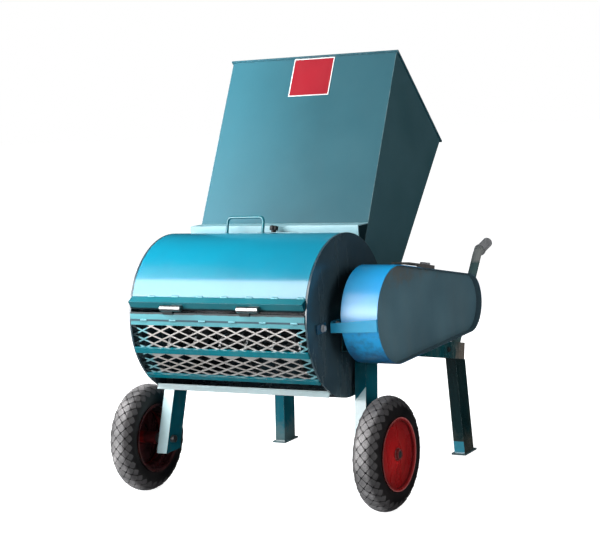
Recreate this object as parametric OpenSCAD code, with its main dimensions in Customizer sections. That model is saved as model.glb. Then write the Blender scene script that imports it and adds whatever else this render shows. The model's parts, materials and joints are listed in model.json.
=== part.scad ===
// Belt-driven straw and chaff chopper on two barrow wheels and two rear legs.
// X runs along the drum towards the belt guard, Y runs back to the feeding side, Z is up.

/* [Drum housing] */
// Outer radius of the drum housing
drum_r = 265; // [250:1:275]
// Length of the drum housing over its end plates
drum_len = 666; // [620:1:690]
// Height of the drum axis above the ground
axis_z = 623; // [610:1:640]
// Thickness of the two round end plates
end_plate_t = 6; // [4:0.5:7]
// Thickness of the rolled housing sheets
shell_t = 3; // [2:0.5:4]
// Front angle of the cover's lower edge above the drum axis
cover_low_a = 10.6; // [10:0.1:13]
// Front angle of the cover's upper edge, past the crest
cover_top_a = 113; // [106:0.5:114]
// Side gap between the cover and each end plate
cover_gap = 1.5; // [1:0.1:3]
// Front angle where the discharge gap ends and the lower shell starts
lip_a = -60; // [-64:0.5:-57]

/* [Discharge screens] */
// Long way of one diamond opening
diamond_w = 72; // [60:1:80]
// Short way of one diamond opening
diamond_h = 30; // [26:1:34]
// Width of one screen strand
strand_w = 6; // [5:0.5:9]
// Thickness of the screens
screen_t = 3; // [2:0.5:4]
// Width of the flat bars that hold the screens
rib_w = 20; // [14:1:24]
// Thickness of the flat bars that hold the screens
rib_t = 8; // [5:0.5:10]

/* [Feed hopper] */
// Distance of the throat strip behind the drum axis
throat_y = 118; // [116:1:126]
// Height of the throat ledge above the crest of the drum
throat_rise = 12; // [7:1:20]
// Depth of the ledge between the throat strip and the hopper front
ledge_d = 73; // [60:1:85]
// Backward lean of the hopper front panel
front_lean = 27; // [22:0.5:30]
// Slanted length of the hopper front panel
front_len = 618; // [560:1:660]
// Backward lean of the hopper rear panel
rear_lean = 42.6; // [40:0.2:45]
// Distance of the rear panel's plane from the drum axis
rear_offset = 231; // [222:1:240]
// Slanted length of the hopper rear panel
rear_len = 770; // [720:1:810]
// Thickness of the hopper sheets
hopper_t = 2; // [1.5:0.5:3]
// Overlap of the hopper sides on the end plates
side_lap = 30; // [20:1:34]
// Thickness of the rim bar round the hopper mouth
rim_t = 6; // [4:0.5:8]
// Distance that the rim bar stands out from the panels
rim_out = 6; // [4:0.5:9]

/* [Chassis] */
// Width of the rail and leg tubes
tube_w = 40; // [36:1:44]
// Height of the rail tubes
rail_h = 60; // [54:1:66]
// Wall of the rail and leg tubes
tube_wall = 3; // [2:0.5:4]
// Gap between an end plate and a rail, filled by pads
pad_t = 7; // [6:0.5:10]
// Fall of the rails towards the back
rail_pitch = 12; // [10:0.5:13]
// Height of the rail axis below the drum axis, at the drum
rail_drop = 90; // [86:1:98]
// Rear end of the rails behind the drum axis
rail_rear_y = 785; // [770:1:800]
// Front end of the rails ahead of the drum axis
rail_front_y = -60; // [-70:1:-50]
// Depth of the leg tubes
leg_d = 80; // [70:1:84]
// Outward lean of the rear legs
rear_splay = 2.8; // [2:0.1:3.4]
// Forward lean of the front legs
front_leg_lean = 14; // [12:0.5:15]
// Outward lean of the front legs
front_splay = 3.9; // [3:0.1:4]
// Width of a foot plate
foot_w = 55; // [50:1:60]
// Length of a foot plate
foot_len = 100; // [92:1:110]
// Thickness of a foot plate
foot_t = 6; // [4:0.5:10]

/* [Wheels] */
// Outer radius of the tyres
wheel_r = 185; // [175:1:190]
// Width of the tyres
tyre_w = 94; // [86:2:98]
// Distance of each wheel's mid plane out from the end plate
wheel_x = 131; // [129:1:139]
// Distance of the axle ahead of the drum axis
axle_ahead = 33; // [28:1:38]
// Radius of the axle
axle_r = 12.5; // [10:0.5:14]
// Height of the tyres from the rim's seat to the tread
tyre_h = 73; // [70:1:76]

/* [Rotor] */
// Radius of the rotor shaft
shaft_r = 22.5; // [20:0.5:25]
// Radius of the rotor tube
rotor_tube_r = 70; // [60:1:80]
// Radius of the circle that the knife tips run on
knife_tip_r = 232; // [215:1:236]
// Knives in one row
knives_per_row = 6; // [4:1:6]
// Rows of knives round the rotor tube
knife_rows = 4; // [3:1:4]
// Running clearance of shafts and pins in their bores
run_gap = 0.05; // [0.02:0.01:0.08]

/* [Belt drive] */
// Distance of the motor shaft behind the drum axis
motor_y = 553; // [545:1:560]
// Distance of the motor shaft below the drum axis
motor_fall = 47; // [42:1:52]
// Outer radius of the drum pulley
big_pulley_r = 120; // [112:1:124]
// Outer radius of the motor pulley
small_pulley_r = 60; // [54:1:64]
// Radius of the motor shaft
motor_shaft_r = 14; // [12:0.5:16]
// Radius of the motor casing between its fins
motor_r = 82; // [74:1:84]
// Height of the motor fins
fin_h = 12; // [8:1:14]
// Length of the motor casing
motor_len = 270; // [240:1:290]
// Height of the motor shaft above its feet
motor_foot_h = 108; // [104:1:112]

/* [Belt guard] */
// Radius of the guard's front end
guard_front_r = 157; // [152:1:162]
// Radius of the guard's rear end
guard_rear_r = 101; // [96:1:106]
// Distance of the guard's front round behind the drum shaft
guard_back = 10; // [6:1:14]
// Height of the guard's rounds above the shafts
guard_lift = 4; // [0:1:8]
// Inner edge of the guard, out from the end plate
guard_in_x = 55; // [53:1:59]
// Outer edge of the guard, out from the end plate
guard_out_x = 182; // [179:1:189]
// Thickness of the guard's sheet
guard_t = 2.5; // [2:0.5:3]
// Distance that the guard's face is set in from its outer edge
face_inset = 20; // [12:1:24]

/* [Cover hardware] */
// Leg of the angle bar along the cover's lower edge
edge_leg = 30; // [26:1:34]
// Radius of the hinge barrels
barrel_r = 10; // [9:0.5:12]
// Length of one hinge barrel pair
barrel_len = 78; // [60:1:90]
// Radius of the hinge pins
hinge_pin_r = 5; // [4:0.5:6]
// Radius of the bar of the cover handle
handle_rod_r = 5; // [4:0.5:6]
// Width of the cover handle between rod axes
cover_handle_w = 140; // [120:1:160]
// Height of the cover handle above the cover
cover_handle_h = 56; // [48:1:66]

/* [Push handles] */
// Radius of the push handle tubes
push_r = 16.5; // [14:0.5:17]
// Lean of the push handles from upright
push_lean = 38; // [35:0.5:40]
// Length of the push handle tubes
push_len = 378; // [360:1:390]
// Length of the rubber grips
grip_len = 78; // [70:1:90]
// Rise of the rubber grips
grip_rise = 15; // [10:0.5:18]

/* [Hidden] */
$fn = 64;
fit = 0.4;
reach = 2500;
leg_spare = 100;

paint = [0.09, 0.55, 0.63];
cover_blue = [0.08, 0.6, 0.76];
guard_blue = [0.02, 0.5, 0.78];
steel = [0.72, 0.72, 0.72];
dark_steel = [0.35, 0.36, 0.37];
rubber = [0.1, 0.1, 0.11];
red = [0.62, 0.12, 0.12];

// Places along the drum
half_len = drum_len / 2;
inner_x = half_len - end_plate_t;
rail_in_x = half_len + pad_t;
rail_x = rail_in_x + tube_w / 2;
rail_out_x = rail_in_x + tube_w;
wheel_mid_x = half_len + wheel_x;
guard_x0 = half_len + guard_in_x;
guard_x1 = half_len + guard_out_x;

// A point on a circle about the drum axis, at an angle counted up from the front
function pol(r, a) = [-r * cos(a), axis_z + r * sin(a)];
function along(p, len, lean) = [p[0] + len * sin(lean), p[1] + len * cos(lean)];

// Rail line
function rail_z(y) = axis_z - rail_drop - y * tan(rail_pitch);
rail_len = (rail_rear_y - rail_front_y) / cos(rail_pitch);

// Hopper corners in the Y-Z plane
side_drop = 120;
front_foot = [throat_y + ledge_d, axis_z + drum_r + throat_rise];
front_top = along(front_foot, front_len, front_lean);
rear_run = sqrt(drum_r * drum_r - rear_offset * rear_offset);
rear_base = [rear_offset * cos(rear_lean), axis_z - rear_offset * sin(rear_lean)];
rear_foot = along(rear_base, rear_run, rear_lean);
rear_top = along(rear_foot, rear_len, rear_lean);
rear_seat = along(rear_base, sqrt(pow(drum_r - shell_t, 2) - rear_offset * rear_offset), rear_lean);
mouth_drop = atan2(front_top[1] - rear_top[1], rear_top[0] - front_top[0]);
mouth_len = norm(rear_top - front_top);

// Front angles of the cage bars
rail_low_a = -0.4;
rail_bend_a = 3.1;
rail_high_a = cover_low_a - 2;
rib_a = [-19.2, -43];
screen_r = drum_r - shell_t;
rib_half_a = asin(rib_w / 2 / drum_r);

// Hinge line of the cover
edge_span_a = 2 * asin(edge_leg * sqrt(2) / 2 / drum_r);
edge_mid_a = cover_low_a + edge_span_a / 2;
edge_tip_r = drum_r + edge_leg / sqrt(2);
edge_t = 3;
weld_gap = 0.6;
edge_low = pol(drum_r, cover_low_a);
edge_tip = pol(edge_tip_r, edge_mid_a);
edge_dir = (edge_low - edge_tip) / norm(edge_low - edge_tip);
edge_normal = [edge_dir[1], -edge_dir[0]];
hinge_c = (edge_low + edge_tip) / 2 + (barrel_r + weld_gap) * edge_normal;
hinge_x = [-158, 132];

// Legs
front_leg_y = axle_ahead - 16;
rear_leg_y = rail_rear_y - leg_d;
axle_z = wheel_r;

// Drive
motor_z = axis_z - motor_fall;
drum_c = [0, axis_z];
motor_c = [motor_y, motor_z];
guard_c1 = drum_c + [guard_back, guard_lift];
guard_c2 = motor_c + [0, guard_lift];
guard_front_y = guard_back - guard_front_r;
pulley_in = 30;
pulley_x0 = guard_x0 + pulley_in;
pulley_w = 44;
belt_pitch = 19;
belt_w = 16;
belt_h = 10;
motor_end_x = guard_x0 - 16;
motor_drop = (motor_z - rail_z(motor_y)) * cos(rail_pitch) - rail_h / 2;
motor_base_t = motor_drop - motor_foot_h;

// Push handles
push_bend_r = 40;
push_root = 60;
collar_w = 9;
flange_w = 5;
flange_out = 3;
grip_cap = 6;
push_foot_y = rail_rear_y - 28;
push_foot = [push_foot_y, rail_z(push_foot_y) + rail_h / 2 / cos(rail_pitch)];
push_top = along(push_foot, push_len, push_lean);
grip_r = push_r + 2.5;
grip_start = 22;
grip_grooves = 7;
groove_r = 1.2;
grip_end = along(push_top, grip_start + grip_len, 90 - grip_rise);

// Hub ends and axle end, from the wheel's mid plane
hub_in = 44;
hub_out = 36;
axle_end = 46;

// Wheel and outline extents
tyre_in_r = wheel_r - tyre_h;
rim_r = tyre_in_r + 6;
wheel_out_x = wheel_mid_x + tyre_w / 2;
front_y = hinge_c[0] - barrel_r;
rear_y = grip_end[0] + grip_r * sin(grip_rise);
shift = [-(guard_x1 - wheel_out_x) / 2, -(front_y + rear_y) / 2, 0];

// Everything is drawn about the drum axis and then moved so that the origin is
// at the middle of the outline, on the ground
module placed() {
    translate(shift) children();
}

module mirrored(side) {
    if (side < 0) mirror([1, 0, 0]) children();
    else children();
}

// A Y-Z outline drawn out along X
module along_x(x0, x1) {
    translate([x0, 0, 0]) rotate([90, 0, 90]) linear_extrude(x1 - x0) children();
}

module rod_x(r, x0, x1) {
    translate([x0, 0, 0]) rotate([0, 90, 0]) cylinder(r = r, h = x1 - x0, $fn = $fn);
}

// A ring sector about the drum axis between two front angles
module drum_sector(r0, r1, a0, a1, x0, x1) {
    translate([x0, 0, axis_z]) rotate([90, 0, 90])
        rotate_extrude(angle = a1 - a0, start = 180 - a1)
            translate([r0, 0]) square([r1 - r0, x1 - x0]);
}

// A local frame on the drum at a front angle, with Z pointing away from the axis
module at_drum(r, a) {
    p = pol(r, a);
    translate([0, p[0], p[1]]) rotate([90 - a, 0, 0]) children();
}

module box_tube(w, d, len) {
    difference() {
        translate([-w / 2, -d / 2, 0]) cube([w, d, len]);
        translate([-w / 2 + tube_wall, -d / 2 + tube_wall, -1])
            cube([w - 2 * tube_wall, d - 2 * tube_wall, len + 2]);
    }
}

// A wedge of space above or below the rails' underside
module above_rail_bottom() {
    translate([0, 0, axis_z - rail_drop]) rotate([-rail_pitch, 0, 0])
        translate([-reach / 2, -reach / 2, -rail_h / 2]) cube(reach);
}

module side_rail(side) {
    color(paint) mirrored(side) translate([rail_x, 0, axis_z - rail_drop])
        rotate([-rail_pitch, 0, 0]) {
            translate([0, rail_front_y / cos(rail_pitch), 0]) rotate([-90, 0, 0])
                box_tube(tube_w, rail_h, rail_len - tube_wall);
            translate([-tube_w / 2, rail_rear_y / cos(rail_pitch) - tube_wall, -rail_h / 2])
                cube([tube_w, tube_wall, rail_h]);
        }
}

// The space of one front leg, before its ends are cut
module at_front_leg() {
    leg_x = rail_x + (rail_z(0) - rail_h / 2 - axle_z) * tan(front_splay);
    translate([leg_x, front_leg_y - axle_ahead, axle_z])
        rotate([-front_leg_lean, -front_splay, 0]) children();
}

module front_leg(side) {
    below_axle = 45;
    color(paint) mirrored(side) difference() {
        at_front_leg() translate([0, 0, -leg_spare]) box_tube(tube_w, leg_d, axis_z);
        above_rail_bottom();
        translate([0, -reach / 2, axle_z - below_axle - reach]) cube(reach);
        translate([0, -axle_ahead, axle_z]) rod_x(axle_r + run_gap, 0, wheel_mid_x);
    }
}

module rear_leg(side) {
    top_z = rail_z(rear_leg_y + leg_d / 2) - rail_h / 2;
    color(paint) mirrored(side) difference() {
        translate([rail_x, rear_leg_y + leg_d / 2, top_z])
            rotate([0, -rear_splay, 0])
                translate([0, 0, -axis_z]) box_tube(tube_w, leg_d, axis_z + leg_spare);
        above_rail_bottom();
        translate([0, 0, foot_t - reach]) cube(reach);
    }
}

module foot_plates() {
    top_z = rail_z(rear_leg_y + leg_d / 2) - rail_h / 2;
    foot_x = rail_x + (top_z - foot_t) * tan(rear_splay);
    color(paint) for (side = [-1, 1]) mirrored(side)
        translate([foot_x - foot_w / 2, rear_leg_y + leg_d / 2 - foot_len / 2, 0])
            cube([foot_w, foot_len, foot_t]);
}

module cross_members() {
    color(paint) for (y = [drum_r + 55, rail_rear_y - 60])
        translate([-rail_in_x, y, rail_z(y)]) rotate([-rail_pitch, 0, 0])
            rotate([0, 90, 0]) box_tube(tube_w, tube_w, 2 * rail_in_x);
}

// Short axles through the front legs, each with a shoulder between leg and hub
module stub_axles() {
    color(steel) for (side = [-1, 1]) mirrored(side) union() {
        translate([0, -axle_ahead, axle_z]) rod_x(axle_r, rail_in_x + 8, wheel_mid_x + axle_end);
        difference() {
            translate([0, -axle_ahead, axle_z]) rod_x(axle_r + 6, rail_x, wheel_mid_x - hub_in - fit);
            at_front_leg() translate([tube_w / 2 + 2 * run_gap - reach, -leg_d, -leg_spare])
                cube([reach, 2 * leg_d, 2 * leg_spare]);
        }
    }
}

module push_handle(side) {
    bend = 90 - push_lean - grip_rise;
    setback = push_bend_r * tan(bend / 2);
    color(paint) mirrored(side) translate([rail_x, 0, 0]) difference() {
        union() {
            translate([0, push_foot[0], push_foot[1]]) rotate([-push_lean, 0, 0]) {
                translate([0, 0, -push_root]) cylinder(r = push_r, h = push_len + push_root - setback);
                translate([0, push_bend_r, push_len - setback]) rotate([90, 0, 90])
                    rotate_extrude(angle = bend, start = 180 - bend)
                        translate([push_bend_r, 0]) circle(r = push_r, $fn = 48);
            }
            translate([0, push_top[0], push_top[1]]) rotate([grip_rise - 90, 0, 0])
                translate([0, 0, setback]) {
                    cylinder(r = push_r, h = grip_start + grip_len - grip_cap - setback);
                    translate([0, 0, -collar_w / 2]) cylinder(r = push_r + 2, h = collar_w);
                }
        }
        translate([0, 0, axis_z - rail_drop]) rotate([-rail_pitch, 0, 0])
            translate([-reach / 2, 0, rail_h / 2 - reach]) cube(reach);
    }
}

module grip(side) {
    color(rubber) mirrored(side) translate([rail_x, push_top[0], push_top[1]])
        rotate([grip_rise - 90, 0, 0]) translate([0, 0, grip_start]) difference() {
            union() {
                cylinder(r = grip_r, h = grip_len);
                cylinder(r = grip_r + flange_out, h = flange_w);
            }
            translate([0, 0, -1]) cylinder(r = push_r + run_gap, h = grip_len - grip_cap + 1 + run_gap);
            for (i = [1 : grip_grooves])
                translate([0, 0, flange_w + i * (grip_len - flange_w) / (grip_grooves + 1)])
                    rotate_extrude() translate([grip_r, 0]) circle(r = groove_r, $fn = 16);
        }
}

module end_plate(side) {
    color(paint) mirrored(side) difference() {
        translate([0, 0, axis_z]) rod_x(drum_r, inner_x, half_len);
        translate([0, 0, axis_z]) rod_x(shaft_r + 8, inner_x - 1, half_len + 1);
    }
}

pad_w = 70;
pad_y = [-20, 150];
module housing_pads() {
    color(dark_steel) for (side = [-1, 1], y = pad_y) mirrored(side)
        translate([half_len, y, rail_z(y)]) rotate([-rail_pitch, 0, 0])
            translate([0, -pad_w / 2, -rail_h / 2]) cube([pad_t, pad_w, rail_h]);
}

module lower_shell() {
    low_a = atan2(rear_seat[1] - axis_z, -rear_seat[0]);
    color(paint) drum_sector(drum_r - shell_t, drum_r, low_a, lip_a - 2, -inner_x, inner_x);
}

module cage_top_rail() {
    color(paint) union() {
        drum_sector(screen_r, drum_r + 4, rail_bend_a, rail_high_a, -inner_x, inner_x);
        drum_sector(screen_r, drum_r + 1.5, rail_low_a, rail_bend_a, -inner_x, inner_x);
    }
}

module cage_ribs() {
    color(paint) for (a = rib_a) at_drum(screen_r, a)
        translate([-inner_x, -rib_w / 2, 0]) cube([2 * inner_x, rib_w, rib_t]);
}

// A rolled sheet of expanded metal between two front angles
module screen(a0, a1) {
    cols = floor(2 * inner_x / diamond_w);
    step_a = diamond_h / 2 * 360 / (2 * PI * screen_r);
    rows = floor((a1 - a0) / step_a) - 1;
    first_a = (a0 + a1 - (rows - 1) * step_a) / 2;
    hole_w = diamond_w - 2 * strand_w;
    hole_h = diamond_h - strand_w;
    color(steel) difference() {
        drum_sector(screen_r - screen_t, screen_r - run_gap, a0, a1, -inner_x, inner_x);
        for (row = [0 : rows - 1], col = [0 : cols - row % 2])
            at_drum(screen_r, first_a + row * step_a)
                translate([(col - (cols - row % 2) / 2) * diamond_w, 0, -2 * screen_t])
                    linear_extrude(4 * screen_t)
                        polygon([[-hole_w / 2, 0], [0, hole_h / 2], [hole_w / 2, 0], [0, -hole_h / 2]]);
    }
}

module screen_upper() {
    screen(rib_a[0] - rib_half_a, rail_bend_a - 1);
}

module screen_lower() {
    screen(rib_a[1] - rib_half_a, rib_a[0] - rib_half_a - 0.2);
}

module bottom_lip() {
    color(paint) union() {
        drum_sector(drum_r - shell_t, drum_r, lip_a - 2, lip_a + 2.5, -inner_x, inner_x);
        at_drum(drum_r - 1, lip_a + 1)
            translate([-inner_x, -2, 0]) cube([2 * inner_x, 4, 16]);
    }
}

module throat_strip() {
    t = 3;
    seat_r = drum_r - shell_t - fit;
    seat_y = throat_y + t;
    seat_z = axis_z + sqrt(seat_r * seat_r - throat_y * throat_y);
    color(paint) union() {
        along_x(-inner_x, inner_x) polygon([
            [throat_y, seat_z - t], [throat_y, front_foot[1]], front_foot,
            front_foot - t * [tan(front_lean), 1], [seat_y, front_foot[1] - t], [seat_y, seat_z - t]]);
        drum_sector(seat_r - t, seat_r, cover_top_a - 6, 180 - acos(throat_y / seat_r) + 0.5,
            -inner_x, inner_x);
    }
}

// A flat panel between two corners of the Y-Z outline, set inwards by its thickness,
// with its top edge in the plane of the mouth
module panel(p0, p1, side, x_half) {
    d = (p1 - p0) / norm(p1 - p0);
    n = side * hopper_t * [d[1], -d[0]];
    m = [sin(mouth_drop), cos(mouth_drop)];
    along_x(-x_half, x_half) polygon([p0, p1, p1 + n - d * (n * m) / (d * m), p0 + n]);
}

module hopper_front() {
    color(paint) panel(front_foot, front_top, 1, inner_x - hopper_t);
}

module hopper_rear() {
    color(paint) panel(rear_seat, rear_top, -1, inner_x - hopper_t);
}

module hopper_side(side) {
    color(paint) mirrored(side) difference() {
        along_x(inner_x - hopper_t, inner_x)
            polygon([front_top, rear_top, rear_base, along(front_foot, -side_drop, front_lean)]);
        translate([0, 0, axis_z]) rod_x(drum_r - side_lap, 0, half_len, $fn = 240);
    }
}

module hopper_rim() {
    out = rim_out;
    color(paint) translate([0, front_top[0], front_top[1]]) rotate([-mouth_drop, 0, 0])
        difference() {
            translate([-inner_x - out, -out, 0])
                cube([2 * (inner_x + out), mouth_len + 2 * out, rim_t]);
            translate([-inner_x + hopper_t, hopper_t + 1, -1])
                cube([2 * (inner_x - hopper_t), mouth_len - 2 * hopper_t - 2, rim_t + 2]);
        }
}

module drum_cover() {
    x = inner_x - cover_gap;
    color(cover_blue) difference() {
        drum_sector(drum_r - shell_t, drum_r, cover_low_a, cover_top_a, -x, x);
        at_drum(drum_r, latch_a) translate([latch_x, 0, -10]) cylinder(r = latch_screw_r + fit, h = 20);
    }
}

module cover_edge_angle() {
    x = inner_x - cover_gap;
    seat_r = drum_r + 0.05;
    wall_a = edge_t * sqrt(2) / seat_r * 180 / PI;
    color(cover_blue) along_x(-x, x) polygon([
        pol(seat_r, cover_low_a + edge_span_a), edge_tip, pol(seat_r, cover_low_a),
        pol(seat_r, cover_low_a + wall_a), pol(edge_tip_r - edge_t * sqrt(2), edge_mid_a),
        pol(seat_r, cover_low_a + edge_span_a - wall_a)]);
}

handle_a = 105;
handle_x = -77;
module cover_handle() {
    bend = 16;
    w = cover_handle_w / 2;
    color(paint) at_drum(drum_r, handle_a) translate([handle_x, 0, 0]) {
        for (s = [-1, 1]) {
            translate([s * w, 0, 0]) cylinder(r = handle_rod_r, h = cover_handle_h - bend);
            translate([s * (w - bend), 0, cover_handle_h - bend]) rotate([90, 0, 0])
                rotate_extrude(angle = 90, start = s > 0 ? 0 : 90)
                    translate([bend, 0]) circle(r = handle_rod_r, $fn = 32);
            translate([s * w, 0, 0]) cylinder(r = handle_rod_r * 1.6, h = 4);
        }
        translate([0, 0, cover_handle_h]) rod_x(handle_rod_r, -w + bend, w - bend);
    }
}

module hinge_barrel(x0, x1) {
    translate([0, hinge_c[0], hinge_c[1]]) difference() {
        rod_x(barrel_r, x0, x1);
        rod_x(hinge_pin_r + run_gap, x0 - 1, x1 + 1);
    }
}

module hinge_cover_barrels() {
    pad = barrel_r * 0.6;
    color(steel) for (x = hinge_x) difference() {
        union() {
            hinge_barrel(x + fit, x + barrel_len / 2);
            along_x(x + fit, x + barrel_len / 2) polygon([
                hinge_c - edge_normal * (barrel_r + weld_gap) - edge_dir * pad,
                hinge_c - edge_normal * (barrel_r + weld_gap) + edge_dir * pad,
                hinge_c - edge_normal * (barrel_r - 3) + edge_dir * pad,
                hinge_c - edge_normal * (barrel_r - 3) - edge_dir * pad]);
        }
        translate([0, hinge_c[0], hinge_c[1]]) rod_x(hinge_pin_r + run_gap, x - 1, x + barrel_len);
    }
}

module hinge_frame_barrels() {
    leaf_t = 4;
    foot = pol(drum_r + 4, rail_high_a - 1.2);
    d = (foot - hinge_c) / norm(foot - hinge_c);
    n = leaf_t / 2 * [d[1], -d[0]];
    start = hinge_c + d * (hinge_pin_r + 2);
    color(steel) for (x = hinge_x) difference() {
        union() {
            hinge_barrel(x - barrel_len / 2, x - fit);
            along_x(x - barrel_len / 2, x - fit) polygon([start + n, foot + n, foot - n, start - n]);
        }
        translate([0, hinge_c[0], hinge_c[1]])
            rod_x(hinge_pin_r + run_gap, x - barrel_len, x + 1);
        translate([0, 0, axis_z]) rod_x(drum_r + 4, x - barrel_len, x + barrel_len);
    }
}

module hinge_pins() {
    color(steel) translate([0, hinge_c[0], hinge_c[1]]) for (x = hinge_x)
        rod_x(hinge_pin_r, x - barrel_len / 2 - 2, x + barrel_len / 2 - 2);
}

latch_a = 108.5;
latch_x = 25;
latch_screw_r = 5;
latch_bar_t = 6;
latch_bar_w = 14;
latch_bar_len = 156;
latch_bar_left = 58;
module latch_bar() {
    color(paint) at_drum(drum_r, latch_a) difference() {
        translate([latch_x - latch_bar_left, -latch_bar_w / 2, 0.3])
            cube([latch_bar_len, latch_bar_w, latch_bar_t]);
        translate([latch_x, 0, -1]) cylinder(r = latch_screw_r + run_gap, h = latch_bar_t + 3);
    }
}

module latch_knob() {
    base = latch_bar_t + 0.3 + fit;
    color(dark_steel) at_drum(drum_r, latch_a) translate([latch_x, 0, 0]) union() {
        translate([0, 0, -shell_t + 0.5]) cylinder(r = latch_screw_r, h = base + shell_t + 4);
        translate([0, 0, base]) cylinder(r = 8, h = 10);
        difference() {
            translate([0, 0, base + 8]) cylinder(r = 14, h = 14);
            for (i = [0 : 5]) rotate([0, 0, i * 60]) translate([17, 0, base])
                cylinder(r = 6, h = 30, $fn = 32);
        }
    }
}

bearing_x = 38;
module rotor_shaft() {
    key_w = 12;
    color(steel) translate([0, 0, axis_z]) difference() {
        rod_x(shaft_r, -half_len - bearing_x - 14, pulley_x0 + pulley_w + 12);
        translate([pulley_x0 + pulley_w + 2, -key_w / 2, shaft_r - 5]) cube([30, key_w, 10]);
    }
}

module rotor_tube() {
    disc_t = 10;
    len = inner_x - 22;
    color(dark_steel) translate([0, 0, axis_z]) difference() {
        union() {
            difference() {
                rod_x(rotor_tube_r, -len, len);
                rod_x(rotor_tube_r - 8, -len + disc_t, len - disc_t);
            }
            for (x = [-len, len - disc_t]) rod_x(rotor_tube_r + 20, x, x + disc_t);
        }
        rod_x(shaft_r + run_gap, -len - 1, len + 1);
    }
}

// Flat knives in staggered rows round the rotor tube, each with a bevelled leading edge
knife_step = (2 * inner_x - 110) / (knives_per_row - 0.5);
knife_x0 = -inner_x + 55 + 4;
module knife(len) {
    t = 8;
    translate([-t / 2, 0, 0]) rotate([90, 0, 90]) linear_extrude(t)
        polygon([[-24, 0], [24, 0], [24, len - 26], [6, len], [-24, len]]);
}

module knives() {
    root_r = sqrt(rotor_tube_r * rotor_tube_r - 24 * 24) - 4;
    color(steel) difference() {
        for (row = [0 : knife_rows - 1], i = [0 : knives_per_row - 1])
            translate([knife_x0 + (i + (row % 2) / 2) * knife_step, 0, axis_z])
                rotate([row * 360 / knife_rows + 20, 0, 0])
                    translate([0, 0, root_r]) knife(knife_tip_r - root_r);
        translate([0, 0, axis_z]) rod_x(rotor_tube_r, -inner_x, inner_x);
    }
}

// Fixed blades on the lower shell, half way between the paths of the knives
counter_a = -150;
module counter_knives() {
    tip_r = 200;
    count = 2 * knives_per_row - 1;
    color(steel) union() {
        drum_sector(drum_r - shell_t - 6, drum_r - shell_t - 0.05, counter_a - 6, counter_a + 6,
            -inner_x + 20, inner_x - 20);
        for (i = [0 : count - 1])
            translate([knife_x0 + (i + 0.5) * knife_step / 2 - 4, 0, axis_z]) rotate([90, 0, 90])
                linear_extrude(8) rotate(180 - counter_a)
                    translate([tip_r, -14]) square([drum_r - shell_t - 4 - tip_r, 28]);
    }
}

bolt_circle_r = 37;
module bearing(side) {
    color(paint) mirrored(side) translate([0, 0, axis_z]) difference() {
        union() {
            rod_x(48, half_len, half_len + 12);
            rod_x(34, half_len + 11, half_len + bearing_x);
        }
        rod_x(shaft_r + run_gap, half_len - 1, half_len + bearing_x + 1);
        for (i = [0 : 3]) rotate([45 + i * 90, 0, 0]) translate([0, 0, bolt_circle_r + 4])
            rod_x(5, half_len - 1, half_len + 13);
    }
}

// A round pulley with square-bottomed belt grooves
module pulley(r, bore) {
    groove_r = r - belt_h - 1.5;
    difference() {
        rod_x(r, pulley_x0, pulley_x0 + pulley_w);
        for (s = [-1, 1]) translate([pulley_x0 + pulley_w / 2 + s * belt_pitch / 2, 0, 0])
            difference() {
                rod_x(r + 5, -belt_w / 2 - fit, belt_w / 2 + fit);
                rod_x(groove_r, -belt_w, belt_w);
            }
        rod_x(bore, pulley_x0 - 1, pulley_x0 + pulley_w + 1);
        if (r > 90) for (i = [0 : 4]) rotate([i * 72, 0, 0]) translate([0, 0, r * 0.57])
            rod_x(r * 0.19, pulley_x0 - 1, pulley_x0 + pulley_w + 1);
    }
}

module drum_pulley() {
    color(dark_steel) translate([0, 0, axis_z]) pulley(big_pulley_r, shaft_r + run_gap);
}

module motor_pulley() {
    color(dark_steel) translate([0, motor_y, motor_z]) pulley(small_pulley_r, motor_shaft_r + run_gap);
}

// A solid round two middles, with straight sides, for the belts and the guard.
// The sides lie a hair inside the tangents, so that each meets its rounds in clear lines
module two_rounds(r1, r2, x0, x1, c1 = drum_c, c2 = motor_c) {
    hair = 0.05;
    dir = atan2(c2[1] - c1[1], c2[0] - c1[0]);
    tilt = acos((r1 - r2) / norm(c2 - c1));
    function rim_point(c, r, a) = c + r * [cos(a), sin(a)];
    union() {
        translate([0, c1[0], c1[1]]) rod_x(r1, x0, x1, $fn = 96);
        translate([0, c2[0], c2[1]]) rod_x(r2, x0, x1, $fn = 96);
        along_x(x0, x1) polygon([
            rim_point(c1, r1 - hair, dir + tilt), rim_point(c2, r2 - hair, dir + tilt),
            rim_point(c2, r2 - hair, dir - tilt), rim_point(c1, r1 - hair, dir - tilt)]);
    }
}

// A band of the given thickness round two middles
module two_rounds_band(r1, r2, t, x0, x1, c1 = drum_c, c2 = motor_c) {
    difference() {
        two_rounds(r1, r2, x0, x1, c1, c2);
        two_rounds(r1 - t, r2 - t, x0 - 1, x1 + 1, c1, c2);
    }
}

module drive_belts() {
    color(rubber) for (s = [-1, 1]) {
        mid = pulley_x0 + pulley_w / 2 + s * belt_pitch / 2;
        two_rounds_band(big_pulley_r - 1, small_pulley_r - 1, belt_h, mid - belt_w / 2, mid + belt_w / 2);
    }
}

// Motor frame, level with the rails
module at_motor() {
    translate([0, motor_y, motor_z]) rotate([-rail_pitch, 0, 0]) children();
}

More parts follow.
